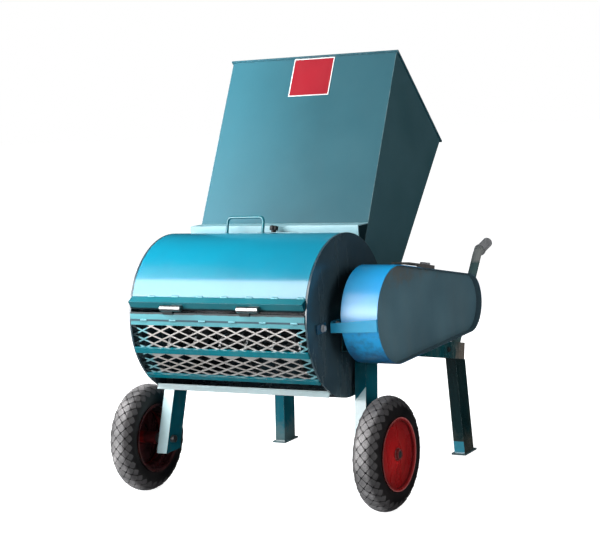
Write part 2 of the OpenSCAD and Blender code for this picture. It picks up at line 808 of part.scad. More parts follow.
motor_x0 = motor_end_x - motor_len;
foot_bar_w = 50;
module motor_casing() {
    shield = 16;
    foot_y = motor_r + 8;
    color(guard_blue) at_motor() difference() {
        union() {
            rod_x(motor_r, motor_x0, motor_end_x);
            for (x = [motor_x0, motor_end_x - shield])
                rod_x(motor_r + fin_h, x, x + shield);
            rod_x(motor_shaft_r + 22, motor_end_x - 1, motor_end_x + 8);
            for (i = [0 : 23]) rotate([i * 15, 0, 0])
                translate([motor_x0 + shield - 1, -2, motor_r - 3])
                    cube([motor_len - 2 * shield + 2, 4, fin_h + 1]);
            for (x = [motor_x0 + 30, motor_end_x - 30 - foot_bar_w])
                translate([x, -foot_y, -motor_foot_h]) cube([foot_bar_w, 2 * foot_y, 12]);
            for (x = [motor_x0 + 30, motor_end_x - 30 - foot_bar_w], s = [-1, 1])
                translate([x, s * (motor_r - 22) - 8, -motor_foot_h])
                    cube([foot_bar_w, 16, motor_foot_h - 40]);
        }
        rod_x(motor_shaft_r + run_gap, motor_x0 - 1, motor_end_x + 20);
        for (x = [motor_x0 + 30, motor_end_x - 30 - foot_bar_w], s = [-1, 1])
            translate([x + foot_bar_w / 2, s * (foot_y - 14), -motor_foot_h - 1])
                cylinder(r = 6, h = 20);
    }
}

fan_len = 70;
module motor_fan_cover() {
    r = motor_r + fin_h;
    color(guard_blue) at_motor() difference() {
        rod_x(r, motor_x0 - fan_len, motor_x0);
        rod_x(r - 3, motor_x0 - fan_len + 3, motor_x0 + 1);
        for (ring = [1 : 3], i = [0 : 6 * ring - 1]) rotate([i * 60 / ring, 0, 0])
            translate([0, 0, ring * r / 4]) rod_x(7, motor_x0 - fan_len - 1, motor_x0 - fan_len + 4);
    }
}

module terminal_box() {
    len = 100;
    w = 86;
    color(guard_blue) at_motor() translate([motor_x0 + motor_len / 2 - len / 2, 0, 0])
        difference() {
            union() {
                translate([0, -w / 2, motor_r + fin_h - 4]) cube([len, w, 40]);
                translate([len - 24, w / 2 - 1, motor_r + fin_h + 16]) rotate([-90, 0, 0])
                    cylinder(r = 12, h = 14);
            }
            rod_x(motor_r + fin_h - 2 + run_gap, -1, len + 1);
            translate([len - 24, w / 2 - 6, motor_r + fin_h + 16]) rotate([-90, 0, 0])
                cylinder(r = 7, h = 30);
        }
}

module motor_shaft() {
    color(steel) translate([0, motor_y, motor_z])
        rod_x(motor_shaft_r, motor_x0 + 2, pulley_x0 + pulley_w + 10);
}

module motor_rails() {
    color(dark_steel) at_motor() for (s = [-1, 1])
        translate([-rail_out_x, s * (motor_r - 6) - 30, -motor_drop])
            cube([2 * rail_out_x, 60, motor_base_t]);
}

module guard_band() {
    color(guard_blue) two_rounds_band(guard_front_r, guard_rear_r, guard_t, guard_x0, guard_x1,
        guard_c1, guard_c2);
}

module guard_face() {
    x = guard_x1 - face_inset;
    inset = guard_t + run_gap;
    color(guard_blue) two_rounds(guard_front_r - inset, guard_rear_r - inset, x - guard_t, x,
        guard_c1, guard_c2);
}

// Strap from the right end plate round to the guard's front, wider towards the guard
strap_root_h = 30;
strap_tip_h = 40;
strap_root_z = axis_z - 17;
strap_tip_z = axis_z - 6;
module guard_bracket() {
    t = 6;
    bend_x = half_len + 24;
    y0 = guard_front_y - t;
    y2 = guard_front_y + 42;
    foot_len = 40;
    color(paint) difference() {
        intersection() {
            translate([0, 0, axis_z - drum_r]) linear_extrude(2 * drum_r) polygon([
                [guard_x1, y0], [bend_x - 4, y0], [half_len, y2 - 4], [half_len, y2 + foot_len],
                [half_len + t, y2 + foot_len], [half_len + t, y2 - 2], [bend_x, guard_front_y],
                [guard_x1, guard_front_y]]);
            translate([0, drum_r, 0]) rotate([90, 0, 0]) linear_extrude(3 * drum_r) polygon([
                [half_len - 1, strap_root_z - strap_root_h / 2],
                [bend_x, strap_root_z - strap_root_h / 2],
                [guard_x1 + 1, strap_tip_z - strap_tip_h / 2],
                [guard_x1 + 1, strap_tip_z + strap_tip_h / 2],
                [bend_x, strap_root_z + strap_root_h / 2],
                [half_len - 1, strap_root_z + strap_root_h / 2]]);
        }
        translate([0, y2 + foot_len / 2 + 2, strap_root_z]) rod_x(5.5, half_len - 1, half_len + t + 1);
    }
}

// Perforated stay between the hopper's right side and the guard's top, with a web along its rear
stay_x0 = inner_x;
stay_front_y = 345;
stay_rear_y = 540;
stay_w = 40;
stay_rise = 22;
module guard_stay() {
    t = 6;
    web_len = 130;
    ear_drop = 28;
    hole_r = 5.5;
    hole_step = 36;
    function top_z(y) = guard_c1[1] + guard_front_r
        - (y - guard_c1[0]) * (guard_c1[1] + guard_front_r - guard_c2[1] - guard_rear_r)
            / (guard_c2[0] - guard_c1[0]);
    z0 = top_z(stay_front_y) + stay_rise;
    pitch = atan2(top_z(stay_front_y) - top_z(stay_rear_y), stay_rear_y - stay_front_y);
    len = (stay_rear_y - stay_front_y) / cos(pitch);
    color(steel) difference() {
        translate([0, stay_front_y, z0]) rotate([-pitch, 0, 0]) {
            translate([stay_x0, 0, 0]) cube([guard_x0 + t - stay_x0, stay_w, t]);
            translate([guard_x0 + t - stay_w, 0, 0]) cube([stay_w, len, t]);
            translate([stay_x0, 0, -ear_drop]) cube([t, stay_w, ear_drop + t / 2]);
            translate([guard_x0, len - web_len, -2 * stay_rise]) cube([t, web_len, 2 * stay_rise + t / 2]);
        }
        two_rounds(guard_front_r, guard_rear_r, guard_x0 - stay_w, guard_x0 + stay_w,
            guard_c1, guard_c2);
        for (i = [1, 2]) translate([0, stay_front_y, z0]) rotate([-pitch, 0, 0])
            translate([guard_x0 + t - stay_w / 2, len - (i - 0.5) * hole_step, -1])
                cylinder(r = hole_r, h = t + 2);
    }
}

// One side of a wheel is made about the X axis and moved to its place
module at_wheel(side) {
    mirrored(side) translate([wheel_mid_x, -axle_ahead, axle_z]) rotate([0, 90, 0]) children();
}

tube_r = tyre_w / 2;
module tyre(side) {
    color(rubber) at_wheel(side) rotate_extrude($fn = 96) difference() {
        translate([wheel_r - tube_r, 0]) circle(r = tube_r);
        translate([wheel_r - tube_r, 0]) circle(r = tube_r - 9);
        translate([0, -tyre_w]) square([tyre_in_r, 2 * tyre_w]);
    }
}

module wheel_rim(side) {
    bead = sqrt(tube_r * tube_r - pow(wheel_r - tube_r - tyre_in_r, 2));
    seat_r = tyre_in_r - fit;
    well_r = tyre_in_r - 14;
    well_half = 14;
    hub_r = axle_r + 9;
    disc_z = hub_out - 10;
    t = 3;
    color(red) at_wheel(side) union() {
        // Barrel with its two edges
        for (s = [0, 180]) rotate([s, 0, 0]) rotate_extrude($fn = 96) polygon([
            [well_r - t, -0.5], [well_r, -0.5], [well_r, well_half], [seat_r, well_half + 4],
            [seat_r, bead + 0.5], [rim_r, bead + 4], [rim_r, bead + 4 + t],
            [seat_r - t, bead + 0.5 + t], [seat_r - t, well_half + 4 + t], [well_r - t, well_half + t]]);
        // Shallow disc from the barrel's outer edge to the hub
        rotate_extrude($fn = 96) polygon([
            [hub_r - 2, hub_out], [hub_r + 6, hub_out], [hub_r + 28, disc_z + 4], [seat_r - 22, disc_z],
            [seat_r - t + 1, disc_z + 8], [seat_r - t + 1, disc_z + 7 - t], [seat_r - 21, disc_z - t],
            [hub_r + 27, disc_z + 4 - t], [hub_r - 2, hub_out - t - 8]]);
        rotate_extrude($fn = 96) translate([axle_r + run_gap, -hub_in])
            square([hub_r - axle_r - run_gap, hub_in + hub_out]);
    }
}

module axle_nuts() {
    washer_t = 2.5;
    nut_t = 8;
    color(steel) for (side = [-1, 1]) mirrored(side)
        translate([wheel_mid_x + hub_out + fit, -axle_ahead, axle_z]) difference() {
            union() {
                rod_x(axle_r + 8, 0, washer_t);
                rod_x(axle_r + 6, washer_t - 0.5, washer_t + nut_t, $fn = 6);
            }
            rod_x(axle_r + run_gap, -1, washer_t + nut_t + 1);
        }
}

module frame_bolts() {
    head = 8;
    leg_clear = 60;
    rear_bolt_y = rear_leg_y - leg_clear;
    color(steel) {
        for (side = [-1, 1], y = pad_y) mirrored(side)
            translate([rail_out_x, y, rail_z(y)]) rotate([0, 90, 0]) cylinder(r = 10, h = head, $fn = 6);
        for (side = [-1, 1]) mirrored(side)
            translate([rail_out_x, rear_bolt_y, rail_z(rear_bolt_y)])
                rotate([0, 90, 0]) cylinder(r = 10, h = head - 2, $fn = 6);
    }
}

placed() side_rail(-1);  // side_rail_left
placed() side_rail(1);  // side_rail_right
placed() front_leg(-1);  // front_leg_left
placed() front_leg(1);  // front_leg_right
placed() rear_leg(-1);  // rear_leg_left
placed() rear_leg(1);  // rear_leg_right
placed() foot_plates();
placed() cross_members();
placed() stub_axles();
placed() push_handle(-1);  // push_handle_left
placed() push_handle(1);  // push_handle_right
placed() grip(-1);  // grip_left
placed() grip(1);  // grip_right
placed() end_plate(-1);  // end_plate_left
placed() end_plate(1);  // end_plate_right
placed() housing_pads();
placed() lower_shell();
placed() cage_top_rail();
placed() cage_ribs();
placed() screen_upper();
placed() screen_lower();
placed() bottom_lip();
placed() throat_strip();
placed() hopper_front();
placed() hopper_side(-1);  // hopper_left
placed() hopper_side(1);  // hopper_right
placed() hopper_rear();
placed() hopper_rim();
placed() drum_cover();
placed() cover_edge_angle();
placed() cover_handle();
placed() hinge_cover_barrels();
placed() hinge_frame_barrels();
placed() hinge_pins();
placed() latch_bar();
placed() latch_knob();
placed() rotor_shaft();
placed() rotor_tube();
placed() knives();
placed() counter_knives();
placed() bearing(-1);  // bearing_left
placed() bearing(1);  // bearing_right
placed() drum_pulley();
placed() drive_belts();
placed() motor_pulley();
placed() motor_casing();
placed() motor_fan_cover();
placed() terminal_box();
placed() motor_shaft();
placed() motor_rails();
placed() guard_band();
placed() guard_face();
placed() guard_bracket();
placed() guard_stay();
placed() tyre(-1);  // tyre_left
placed() tyre(1);  // tyre_right
placed() wheel_rim(-1);  // rim_left
placed() wheel_rim(1);  // rim_right
placed() axle_nuts();
placed() frame_bolts();
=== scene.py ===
"""Looks of the chaff cutter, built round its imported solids."""

import json
import math

import bpy
from mathutils import Matrix, Vector


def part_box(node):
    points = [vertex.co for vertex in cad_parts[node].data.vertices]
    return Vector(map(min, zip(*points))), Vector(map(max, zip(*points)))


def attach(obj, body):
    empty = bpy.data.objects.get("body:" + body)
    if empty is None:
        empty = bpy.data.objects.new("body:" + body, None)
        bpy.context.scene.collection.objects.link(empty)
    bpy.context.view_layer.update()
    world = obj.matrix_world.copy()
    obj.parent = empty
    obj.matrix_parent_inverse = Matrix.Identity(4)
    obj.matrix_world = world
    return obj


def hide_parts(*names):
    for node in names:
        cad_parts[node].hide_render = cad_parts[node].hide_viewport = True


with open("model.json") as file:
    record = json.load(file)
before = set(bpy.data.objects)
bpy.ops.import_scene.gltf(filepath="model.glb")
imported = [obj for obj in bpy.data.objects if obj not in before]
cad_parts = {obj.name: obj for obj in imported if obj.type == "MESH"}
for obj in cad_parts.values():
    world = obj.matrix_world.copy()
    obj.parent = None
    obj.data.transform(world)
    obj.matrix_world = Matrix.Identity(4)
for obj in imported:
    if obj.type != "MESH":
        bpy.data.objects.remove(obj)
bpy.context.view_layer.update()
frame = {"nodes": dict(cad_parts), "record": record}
nodes = frame["nodes"]
MM = 0.001
SIDES = ("left", "right")


# Places read from the frame
def middle(name):
    low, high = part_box(name)
    return (low + high) / 2


drum_mid = (middle("end_plate_left") + middle("end_plate_right")) / 2
drum_r = (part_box("end_plate_left")[1].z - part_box("end_plate_left")[0].z) / 2
wheel_mid = {side: middle("tyre_" + side) for side in SIDES}
tyre_low, tyre_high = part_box("tyre_left")
tyre_half = (tyre_high.x - tyre_low.x) / 2
wheel_r = (tyre_high.z - tyre_low.z) / 2
flange_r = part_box("rim_right")[1].z - wheel_mid["right"].z
joint_at = {joint["name"]: Vector(joint["pos_m"]) for joint in frame["record"]["behaviour"]["joints"]}


def drum_frame(x, radius, angle):
    """A frame on the drum, at an angle up from its front: X along it, Y round it towards the top, Z outwards."""
    lift = math.radians(angle)
    spot = drum_mid + Vector((x, -radius * math.cos(lift), radius * math.sin(lift)))
    return Matrix.Translation(spot) @ Matrix.Rotation(math.radians(90 - angle), 4, "X")


def facing(point, normal):
    """A frame at a point, with Z along the normal."""
    return Matrix.Translation(point) @ Vector(normal).to_track_quat("Z", "Y").to_matrix().to_4x4()


# Modelling by hand
def deselect():
    if bpy.context.object and bpy.context.object.mode != "OBJECT":
        bpy.ops.object.mode_set(mode="OBJECT")
    bpy.ops.object.select_all(action="DESELECT")


def start(primitive, **settings):
    """Adds a primitive and leaves it in edit mode with nothing else selected."""
    deselect()
    primitive(**settings)
    bpy.ops.object.mode_set(mode="EDIT")
    bpy.ops.mesh.select_mode(type="FACE")
    return bpy.context.object


def pick(obj, test):
    """Selects the faces whose middle and normal pass the test, in edit mode."""
    bpy.ops.mesh.select_all(action="DESELECT")
    bpy.ops.object.mode_set(mode="OBJECT")
    for face in obj.data.polygons:
        face.select = test(face.center, face.normal)
    bpy.ops.object.mode_set(mode="EDIT")


def done(obj, name, angle):
    """Leaves edit mode, puts the place into the mesh and smooths edges that turn less than the angle."""
    deselect()
    obj.select_set(True)
    bpy.context.view_layer.objects.active = obj
    bpy.ops.object.transform_apply(location=True, rotation=True, scale=True)
    bpy.ops.object.shade_smooth_by_angle(angle=math.radians(angle))
    obj.name = name
    obj.data.name = name
    return obj


def own_copy(pattern):
    """A copy of a pattern, with its own mesh."""
    copy = pattern.copy()
    copy.data = pattern.data.copy()
    bpy.context.scene.collection.objects.link(copy)
    return copy


def joined(pieces, name):
    deselect()
    for piece in pieces:
        piece.select_set(True)
    bpy.context.view_layer.objects.active = pieces[0]
    bpy.ops.object.join()
    piece = bpy.context.view_layer.objects.active
    piece.name = name
    piece.data.name = name
    return piece


def copies(pattern, name, places):
    """One piece made of copies of a pattern at the given places."""
    made = []
    for place in places:
        copy = own_copy(pattern)
        copy.data.transform(place)
        made.append(copy)
    return joined(made, name)


def discard(pattern):
    bpy.data.objects.remove(pattern)


def finish_piece(piece, material, body):
    piece.data.materials.clear()
    piece.data.materials.append(material)
    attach(piece, body)


# Shader nodes
FLOAT, COLOUR, VECTOR = "NodeSocketFloat", "NodeSocketColor", "NodeSocketVector"


def feed(tree, socket, value):
    """Links an output to a socket, or sets the socket's own value."""
    if isinstance(value, bpy.types.NodeSocket):
        tree.links.new(value, socket)
    else:
        socket.default_value = value


def node(tree, kind, feeds=None, **settings):
    """Adds a node; feeds gives each input a value or the output that feeds it."""
    made = tree.nodes.new(kind)
    for name, value in settings.items():
        setattr(made, name, value)
    for name, value in (feeds or {}).items():
        feed(tree, made.inputs[name], value)
    return made


def mix(tree, factor, a, b):
    """The colour between a and b, by the colour sockets of the Mix node."""
    return node(tree, "ShaderNodeMix", {0: factor, 6: a, 7: b}, data_type="RGBA").outputs[2]


def maths(tree, operation, a, b=0.0, clamp=False):
    return node(tree, "ShaderNodeMath", {0: a, 1: b}, operation=operation, use_clamp=clamp).outputs[0]


def vectors(tree, operation, a, b):
    return node(tree, "ShaderNodeVectorMath", {0: a, 1: b}, operation=operation).outputs["Vector"]


def dot(tree, a, b):
    return node(tree, "ShaderNodeVectorMath", {0: a, 1: b}, operation="DOT_PRODUCT").outputs["Value"]


def split(tree, vector):
    """The outputs X, Y and Z of a vector."""
    return node(tree, "ShaderNodeSeparateXYZ", {"Vector": vector}).outputs


def ramp(tree, value, low, high, to_low=0.0, to_high=1.0):
    """The value stretched from one range to another and held at its ends."""
    return node(tree, "ShaderNodeMapRange", {
        "Value": value, "From Min": low, "From Max": high, "To Min": to_low, "To Max": to_high}).outputs["Result"]


def noise(tree, place, scale, detail, roughness=0.5):
    """A cloudy pattern between 0 and 1."""
    return node(tree, "ShaderNodeTexNoise", {
        "Vector": place, "Scale": scale, "Detail": detail, "Roughness": roughness}).outputs["Fac"]


def object_place(tree):
    return node(tree, "ShaderNodeTexCoord").outputs["Object"]


def surface_normal(tree):
    return node(tree, "ShaderNodeNewGeometry").outputs["Normal"]


def rgb(red, green, blue):
    """A colour given as it looks on screen, 0 to 255, as Blender's linear values."""
    def linear(level):
        level = level / 255
        return level / 12.92 if level <= 0.04045 else ((level + 0.055) / 1.055) ** 2.4
    return (linear(red), linear(green), linear(blue), 1.0)


def new_group(name, inputs, outputs):
    """A node group with its input and output sockets."""
    tree = bpy.data.node_groups.new(name, "ShaderNodeTree")
    for label, kind, value in inputs:
        socket = tree.interface.new_socket(label, in_out="INPUT", socket_type=kind)
        socket.default_value = value
    for label, kind in outputs:
        tree.interface.new_socket(label, in_out="OUTPUT", socket_type=kind)
    return tree, tree.nodes.new("NodeGroupInput").outputs, tree.nodes.new("NodeGroupOutput").inputs


# Effects that the finishes share
DUST_TONE = rgb(158, 150, 132)
RUBBED_TONE = rgb(176, 186, 186)
STREAK_TONE = rgb(120, 122, 124)
ALONG_X, ALONG_Y = (1.0, 14.0, 14.0), (14.0, 1.0, 14.0)


def edge_group():
    """Edges rounded over by a small radius, and a mask of where their finish is rubbed off."""
    tree, given, out = new_group("rubbed_edges", [
        ("Radius", FLOAT, 1.5 * MM),
    ], [("Edge", FLOAT), ("Normal", VECTOR)])
    rounded = node(tree, "ShaderNodeBevel", {"Radius": given["Radius"]}, samples=4).outputs["Normal"]
    turn = maths(tree, "SUBTRACT", 1.0, dot(tree, rounded, surface_normal(tree)))
    chip = noise(tree, object_place(tree), 60.0, 5.0, 0.7)
    edge = maths(tree, "MULTIPLY", ramp(tree, turn, 0.03, 0.22), ramp(tree, chip, 0.4, 0.62))
    tree.links.new(edge, out["Edge"])
    tree.links.new(rounded, out["Normal"])
    return tree


def zone_group():
    """Another tone that takes over along a direction, with an uneven border."""
    tree, given, out = new_group("zone_tone", [
        ("Colour", COLOUR, rgb(128, 128, 128)),
        ("Zone Tone", COLOUR, rgb(90, 80, 70)),
        ("Along", VECTOR, (0.0, 0.0, 1.0)),
        ("From", FLOAT, 0.0),
        ("To", FLOAT, 1.0),
        ("Amount", FLOAT, 1.0),
        ("Unevenness", FLOAT, 0.35),
    ], [("Colour", COLOUR)])
    place = object_place(tree)
    cloud = noise(tree, place, 24.0, 6.0, 0.65)
    inside = ramp(tree, dot(tree, place, given["Along"]), given["From"], given["To"])
    wander = maths(tree, "MULTIPLY", ramp(tree, cloud, 0.3, 0.7, -1.0, 1.0), given["Unevenness"])
    uneven = maths(tree, "ADD", inside, wander)
    mask = maths(tree, "MULTIPLY", ramp(tree, uneven, 0.25, 0.75), given["Amount"], clamp=True)
    mask = maths(tree, "MULTIPLY", mask, ramp(tree, inside, 0.0, 0.15))
    tree.links.new(mix(tree, mask, given["Colour"], given["Zone Tone"]), out["Colour"])
    return tree


def enamel_group():
    """Sprayed enamel: uneven tone, run marks, dust low down, rubbed edges and a fine orange peel."""
    tree, given, out = new_group("enamel", [
        ("Tone", COLOUR, rgb(22, 140, 160)),
        ("Deep Tone", COLOUR, rgb(10, 90, 105)),
        ("Dust", FLOAT, 0.2),
        ("Gloss", FLOAT, 0.2),
        ("Edge", FLOAT, 0.0),
    ], [("Colour", COLOUR), ("Roughness", FLOAT), ("Height", FLOAT)])
    place = object_place(tree)
    stretched = node(tree, "ShaderNodeMapping", {"Vector": place, "Scale": (9.0, 9.0, 1.6)}).outputs["Vector"]
    cloud = noise(tree, place, 5.0, 4.0)
    smear = noise(tree, stretched, 2.4, 6.0, 0.62)
    grit = noise(tree, place, 160.0, 3.0)
    peel = noise(tree, place, 420.0, 1.0)
    low_down = ramp(tree, split(tree, place)["Z"], 750 * MM, 50 * MM)
    tone = mix(tree, ramp(tree, cloud, 0.35, 0.7), given["Deep Tone"], given["Tone"])
    dusty = maths(tree, "MULTIPLY", ramp(tree, smear, 0.46, 0.72), maths(tree, "ADD", low_down, 0.25))
    dusty = maths(tree, "MULTIPLY", dusty, ramp(tree, grit, 0.3, 0.65, 0.4, 1.0))
    dusty = maths(tree, "MULTIPLY", dusty, given["Dust"], clamp=True)
    soiled = mix(tree, dusty, tone, DUST_TONE)
    rubbed = mix(tree, maths(tree, "MULTIPLY", given["Edge"], 0.75), soiled, RUBBED_TONE)
    rough = maths(tree, "ADD", given["Gloss"], ramp(tree, smear, 0.4, 0.75, 0.0, 0.08))
    rough = maths(tree, "ADD", rough, maths(tree, "MULTIPLY", dusty, 0.5), clamp=True)
    tree.links.new(rubbed, out["Colour"])
    tree.links.new(rough, out["Roughness"])
    tree.links.new(maths(tree, "SUBTRACT", peel, maths(tree, "MULTIPLY", given["Edge"], 0.5)), out["Height"])
    return tree


def metal_group():
    """Bare steel: drawn streaks, blotches of oxide and small nicks."""
    tree, given, out = new_group("bare_metal", [
        ("Tone", COLOUR, rgb(205, 203, 200)),
        ("Oxide", COLOUR, rgb(120, 104, 92)),
        ("Oxide Amount", FLOAT, 0.35),
        ("Streak Along", VECTOR, ALONG_X),
    ], [("Colour", COLOUR), ("Roughness", FLOAT), ("Height", FLOAT)])
    place = object_place(tree)
    drawn = node(tree, "ShaderNodeMapping", {"Vector": place, "Scale": given["Streak Along"]}).outputs["Vector"]
    streak = noise(tree, drawn, 22.0, 5.0)
    blotch = noise(tree, place, 34.0, 6.0, 0.7)
    rusty = maths(tree, "MULTIPLY", ramp(tree, blotch, 0.5, 0.72), given["Oxide Amount"], clamp=True)
    tone = mix(tree, ramp(tree, streak, 0.3, 0.75, 0.0, 0.35), given["Tone"], STREAK_TONE)
    rough = ramp(tree, streak, 0.3, 0.7, 0.24, 0.42)
    rough = maths(tree, "ADD", rough, maths(tree, "MULTIPLY", rusty, 0.45), clamp=True)
    tree.links.new(mix(tree, rusty, tone, given["Oxide"]), out["Colour"])
    tree.links.new(rough, out["Roughness"])
    tree.links.new(maths(tree, "ADD", streak, maths(tree, "MULTIPLY", blotch, 0.6)), out["Height"])
    return tree


def rubber_group():
    """Moulded rubber: dust in patches and a fine pebbled skin."""
    tree, given, out = new_group("rubber_skin", [
        ("Tone", COLOUR, rgb(30, 30, 32)),
        ("Dust Tone", COLOUR, rgb(136, 128, 122)),
        ("Dust", FLOAT, 0.4),
    ], [("Colour", COLOUR), ("Roughness", FLOAT), ("Height", FLOAT)])
    place = object_place(tree)
    patch = noise(tree, place, 9.0, 6.0, 0.6)
    speck = noise(tree, place, 240.0, 2.0)
    pebble = node(tree, "ShaderNodeTexVoronoi", {"Vector": place, "Scale": 520.0}).outputs["Distance"]
    dusty = maths(tree, "MULTIPLY", ramp(tree, patch, 0.36, 0.68), ramp(tree, speck, 0.3, 0.6, 0.45, 1.0))
    dusty = maths(tree, "MULTIPLY", dusty, given["Dust"], clamp=True)
    rough = maths(tree, "ADD", 0.52, maths(tree, "MULTIPLY", dusty, 0.35), clamp=True)
    tree.links.new(mix(tree, dusty, given["Tone"], given["Dust Tone"]), out["Colour"])
    tree.links.new(rough, out["Roughness"])
    tree.links.new(maths(tree, "ADD", pebble, speck), out["Height"])
    return tree


EDGES, ZONE = edge_group(), zone_group()
SKINS = {"enamel": enamel_group(), "bare_metal": metal_group(), "rubber_skin": rubber_group()}

# Finishes
BUMP_DEPTH = 0.2 * MM
COAT_IOR = 1.7
materials = {}


def surface(name, skin_name, values, metallic=0.0, coat=0.0, coat_rough=0.12, bump=0.1, zones=()):
    """Makes a material from one of the skins, over rounded edges, and files it under its name."""
    material = bpy.data.materials.new(name)
    material.use_nodes = True
    tree = material.node_tree
    edges = node(tree, "ShaderNodeGroup", node_tree=EDGES)
    skin = node(tree, "ShaderNodeGroup", values, node_tree=SKINS[skin_name])
    if "Edge" in skin.inputs:
        tree.links.new(edges.outputs["Edge"], skin.inputs["Edge"])
    colour = skin.outputs["Colour"]
    for settings in zones:
        colour = node(tree, "ShaderNodeGroup", {**settings, "Colour": colour}, node_tree=ZONE).outputs["Colour"]
    relief = node(tree, "ShaderNodeBump", {
        "Strength": bump, "Distance": BUMP_DEPTH, "Height": skin.outputs["Height"],
        "Normal": edges.outputs["Normal"]})
    shader = {
        "Base Color": colour, "Metallic": metallic, "Roughness": skin.outputs["Roughness"],
        "Specular IOR Level": 0.5 - 0.3 * coat, "Coat Weight": coat, "Coat Roughness": coat_rough,
        "Coat IOR": COAT_IOR, "Normal": relief.outputs["Normal"]}
    for socket, value in shader.items():
        feed(tree, tree.nodes["Principled BSDF"].inputs[socket], value)
    materials[name] = material
    return material


def zone(tone, along, start, end, amount=1.0, uneven=0.35):
    """Settings of a zone of another tone, from one distance along a direction to another."""
    return {"Zone Tone": rgb(*tone), "Along": along, "From": start, "To": end, "Amount": amount,
            "Unevenness": uneven}


def enamel(name, tone, deep, dust=0.25, gloss=0.16, coat=0.6, coat_rough=0.12, zones=()):
    values = {"Tone": rgb(*tone), "Deep Tone": rgb(*deep), "Dust": dust, "Gloss": gloss}
    return surface(name, "enamel", values, coat=coat, coat_rough=coat_rough, bump=0.06, zones=zones)


def bare(name, tone, oxide, amount, streak, bump=0.15, metallic=1.0, zones=()):
    values = {"Tone": rgb(*tone), "Oxide": rgb(*oxide), "Oxide Amount": amount, "Streak Along": streak}
    return surface(name, "bare_metal", values, metallic=metallic, bump=bump, zones=zones)


def rubber(name, tone, dust_tone, dust, bump=0.3, zones=()):
    values = {"Tone": rgb(*tone), "Dust Tone": rgb(*dust_tone), "Dust": dust}
    return surface(name, "rubber_skin", values, bump=bump, zones=zones)


def repaint(material, *layers):
    """Lays further tones over a material's colour, each by its mask."""
    tree = material.node_tree
    base = tree.nodes["Principled BSDF"].inputs["Base Color"]
    colour = base.links[0].from_socket
    for mask, tone in layers:
        colour = mix(tree, mask, colour, rgb(*tone))
    tree.links.new(colour, base)


UP, BACK, FORWARDS = (0.0, 0.0, 1.0), (0.0, 1.0, 0.0), (0.0, -1.0, 0.0)
LEFT, RIGHT = (-1.0, 0.0, 0.0), (1.0, 0.0, 0.0)
ROUND_X = (0.0, 1.0, 1.0)  # what is left of a vector square to X

# Where one tone gives way to another: a start and an end, or a height and its fade
GROUND_DUST_TOP = 120 * MM
HANDLE_BARE_BELOW_GRIP, HANDLE_BARE_FADE = 25 * MM, 22 * MM
RAIL_BARE_START, RAIL_BARE_END = 100 * MM, 30 * MM
# Painted shadow lines: a dark band along the lower edge of the cover's edge bar and along the top of the cage rail
SHADOW_LINE_START, SHADOW_LINE_END = 8 * MM, 4 * MM
# Painted light on the hopper's front: paler towards the left, the side the light comes from
HOPPER_PAINTED_LIGHT = (-250 * MM, 450 * MM)  # towards the left
SCREEN_TEAL_RIGHT = (286 * MM, 300 * MM)
SCREEN_TEAL_LEFT = (262 * MM, 276 * MM)
# Painted shade on the screens' left ends, where they run in under the end plate's edge
SCREEN_SHADE_LEFT = (304 * MM, 312 * MM)
# Painted shade on the guard's band, darker towards the bottom over this rise
GUARD_SHADE_RISE = 150 * MM
GUARD_SOILED_BELOW, GUARD_SOILED_ABOVE = 100 * MM, 20 * MM
GUARD_SLATE_START, GUARD_SLATE_FADE = 260 * MM, 80 * MM
GUARD_INSIDE = (-5 * MM, -30 * MM)  # how far a face looks inwards, times its radius
RAIL_FOLD_ANGLE = 3.1  # degrees up from the drum's front
SEAM_SHADOW_EDGE, SEAM_SHADOW_CORE = 0.016, 0.009  # radians from the fold
# Painted shade on the tyres' shoulders, from and to these distances out from the tread's middle
SHOULDER_SHADE_START, SHOULDER_SHADE_END = 12 * MM, 34 * MM
# Painted light on the legs' forward faces: a pale tone below a border that climbs outwards, above which the plain
# paint stands for the drum's cast shadow
LEG_FACE_X = 380 * MM
LEG_PAINTED_LIGHT_TOP, LEG_PAINTED_LIGHT_CLIMB = 385 * MM, 1.25  # the border rises outwards by this slope
# Painted light on the right rear leg's forward face, from the floor up to this height
FOOT_PAINTED_LIGHT_TOP = 47 * MM
LEG_BORDER_FADE = 2 * MM
# Painted light on the rims: shade away from the hub, a highlight on the flange's lip, and shade on the side towards
# the machine
RIM_OUTER_SHADE = (30 * MM, 105 * MM)
RIM_FLANGE_HIGHLIGHT = (flange_r - 5 * MM, flange_r - 2 * MM)
RIM_INNER_SHADE_DEPTH = 20 * MM

ground_dust = zone((126, 116, 100), UP, GROUND_DUST_TOP, 0.0, 0.3)


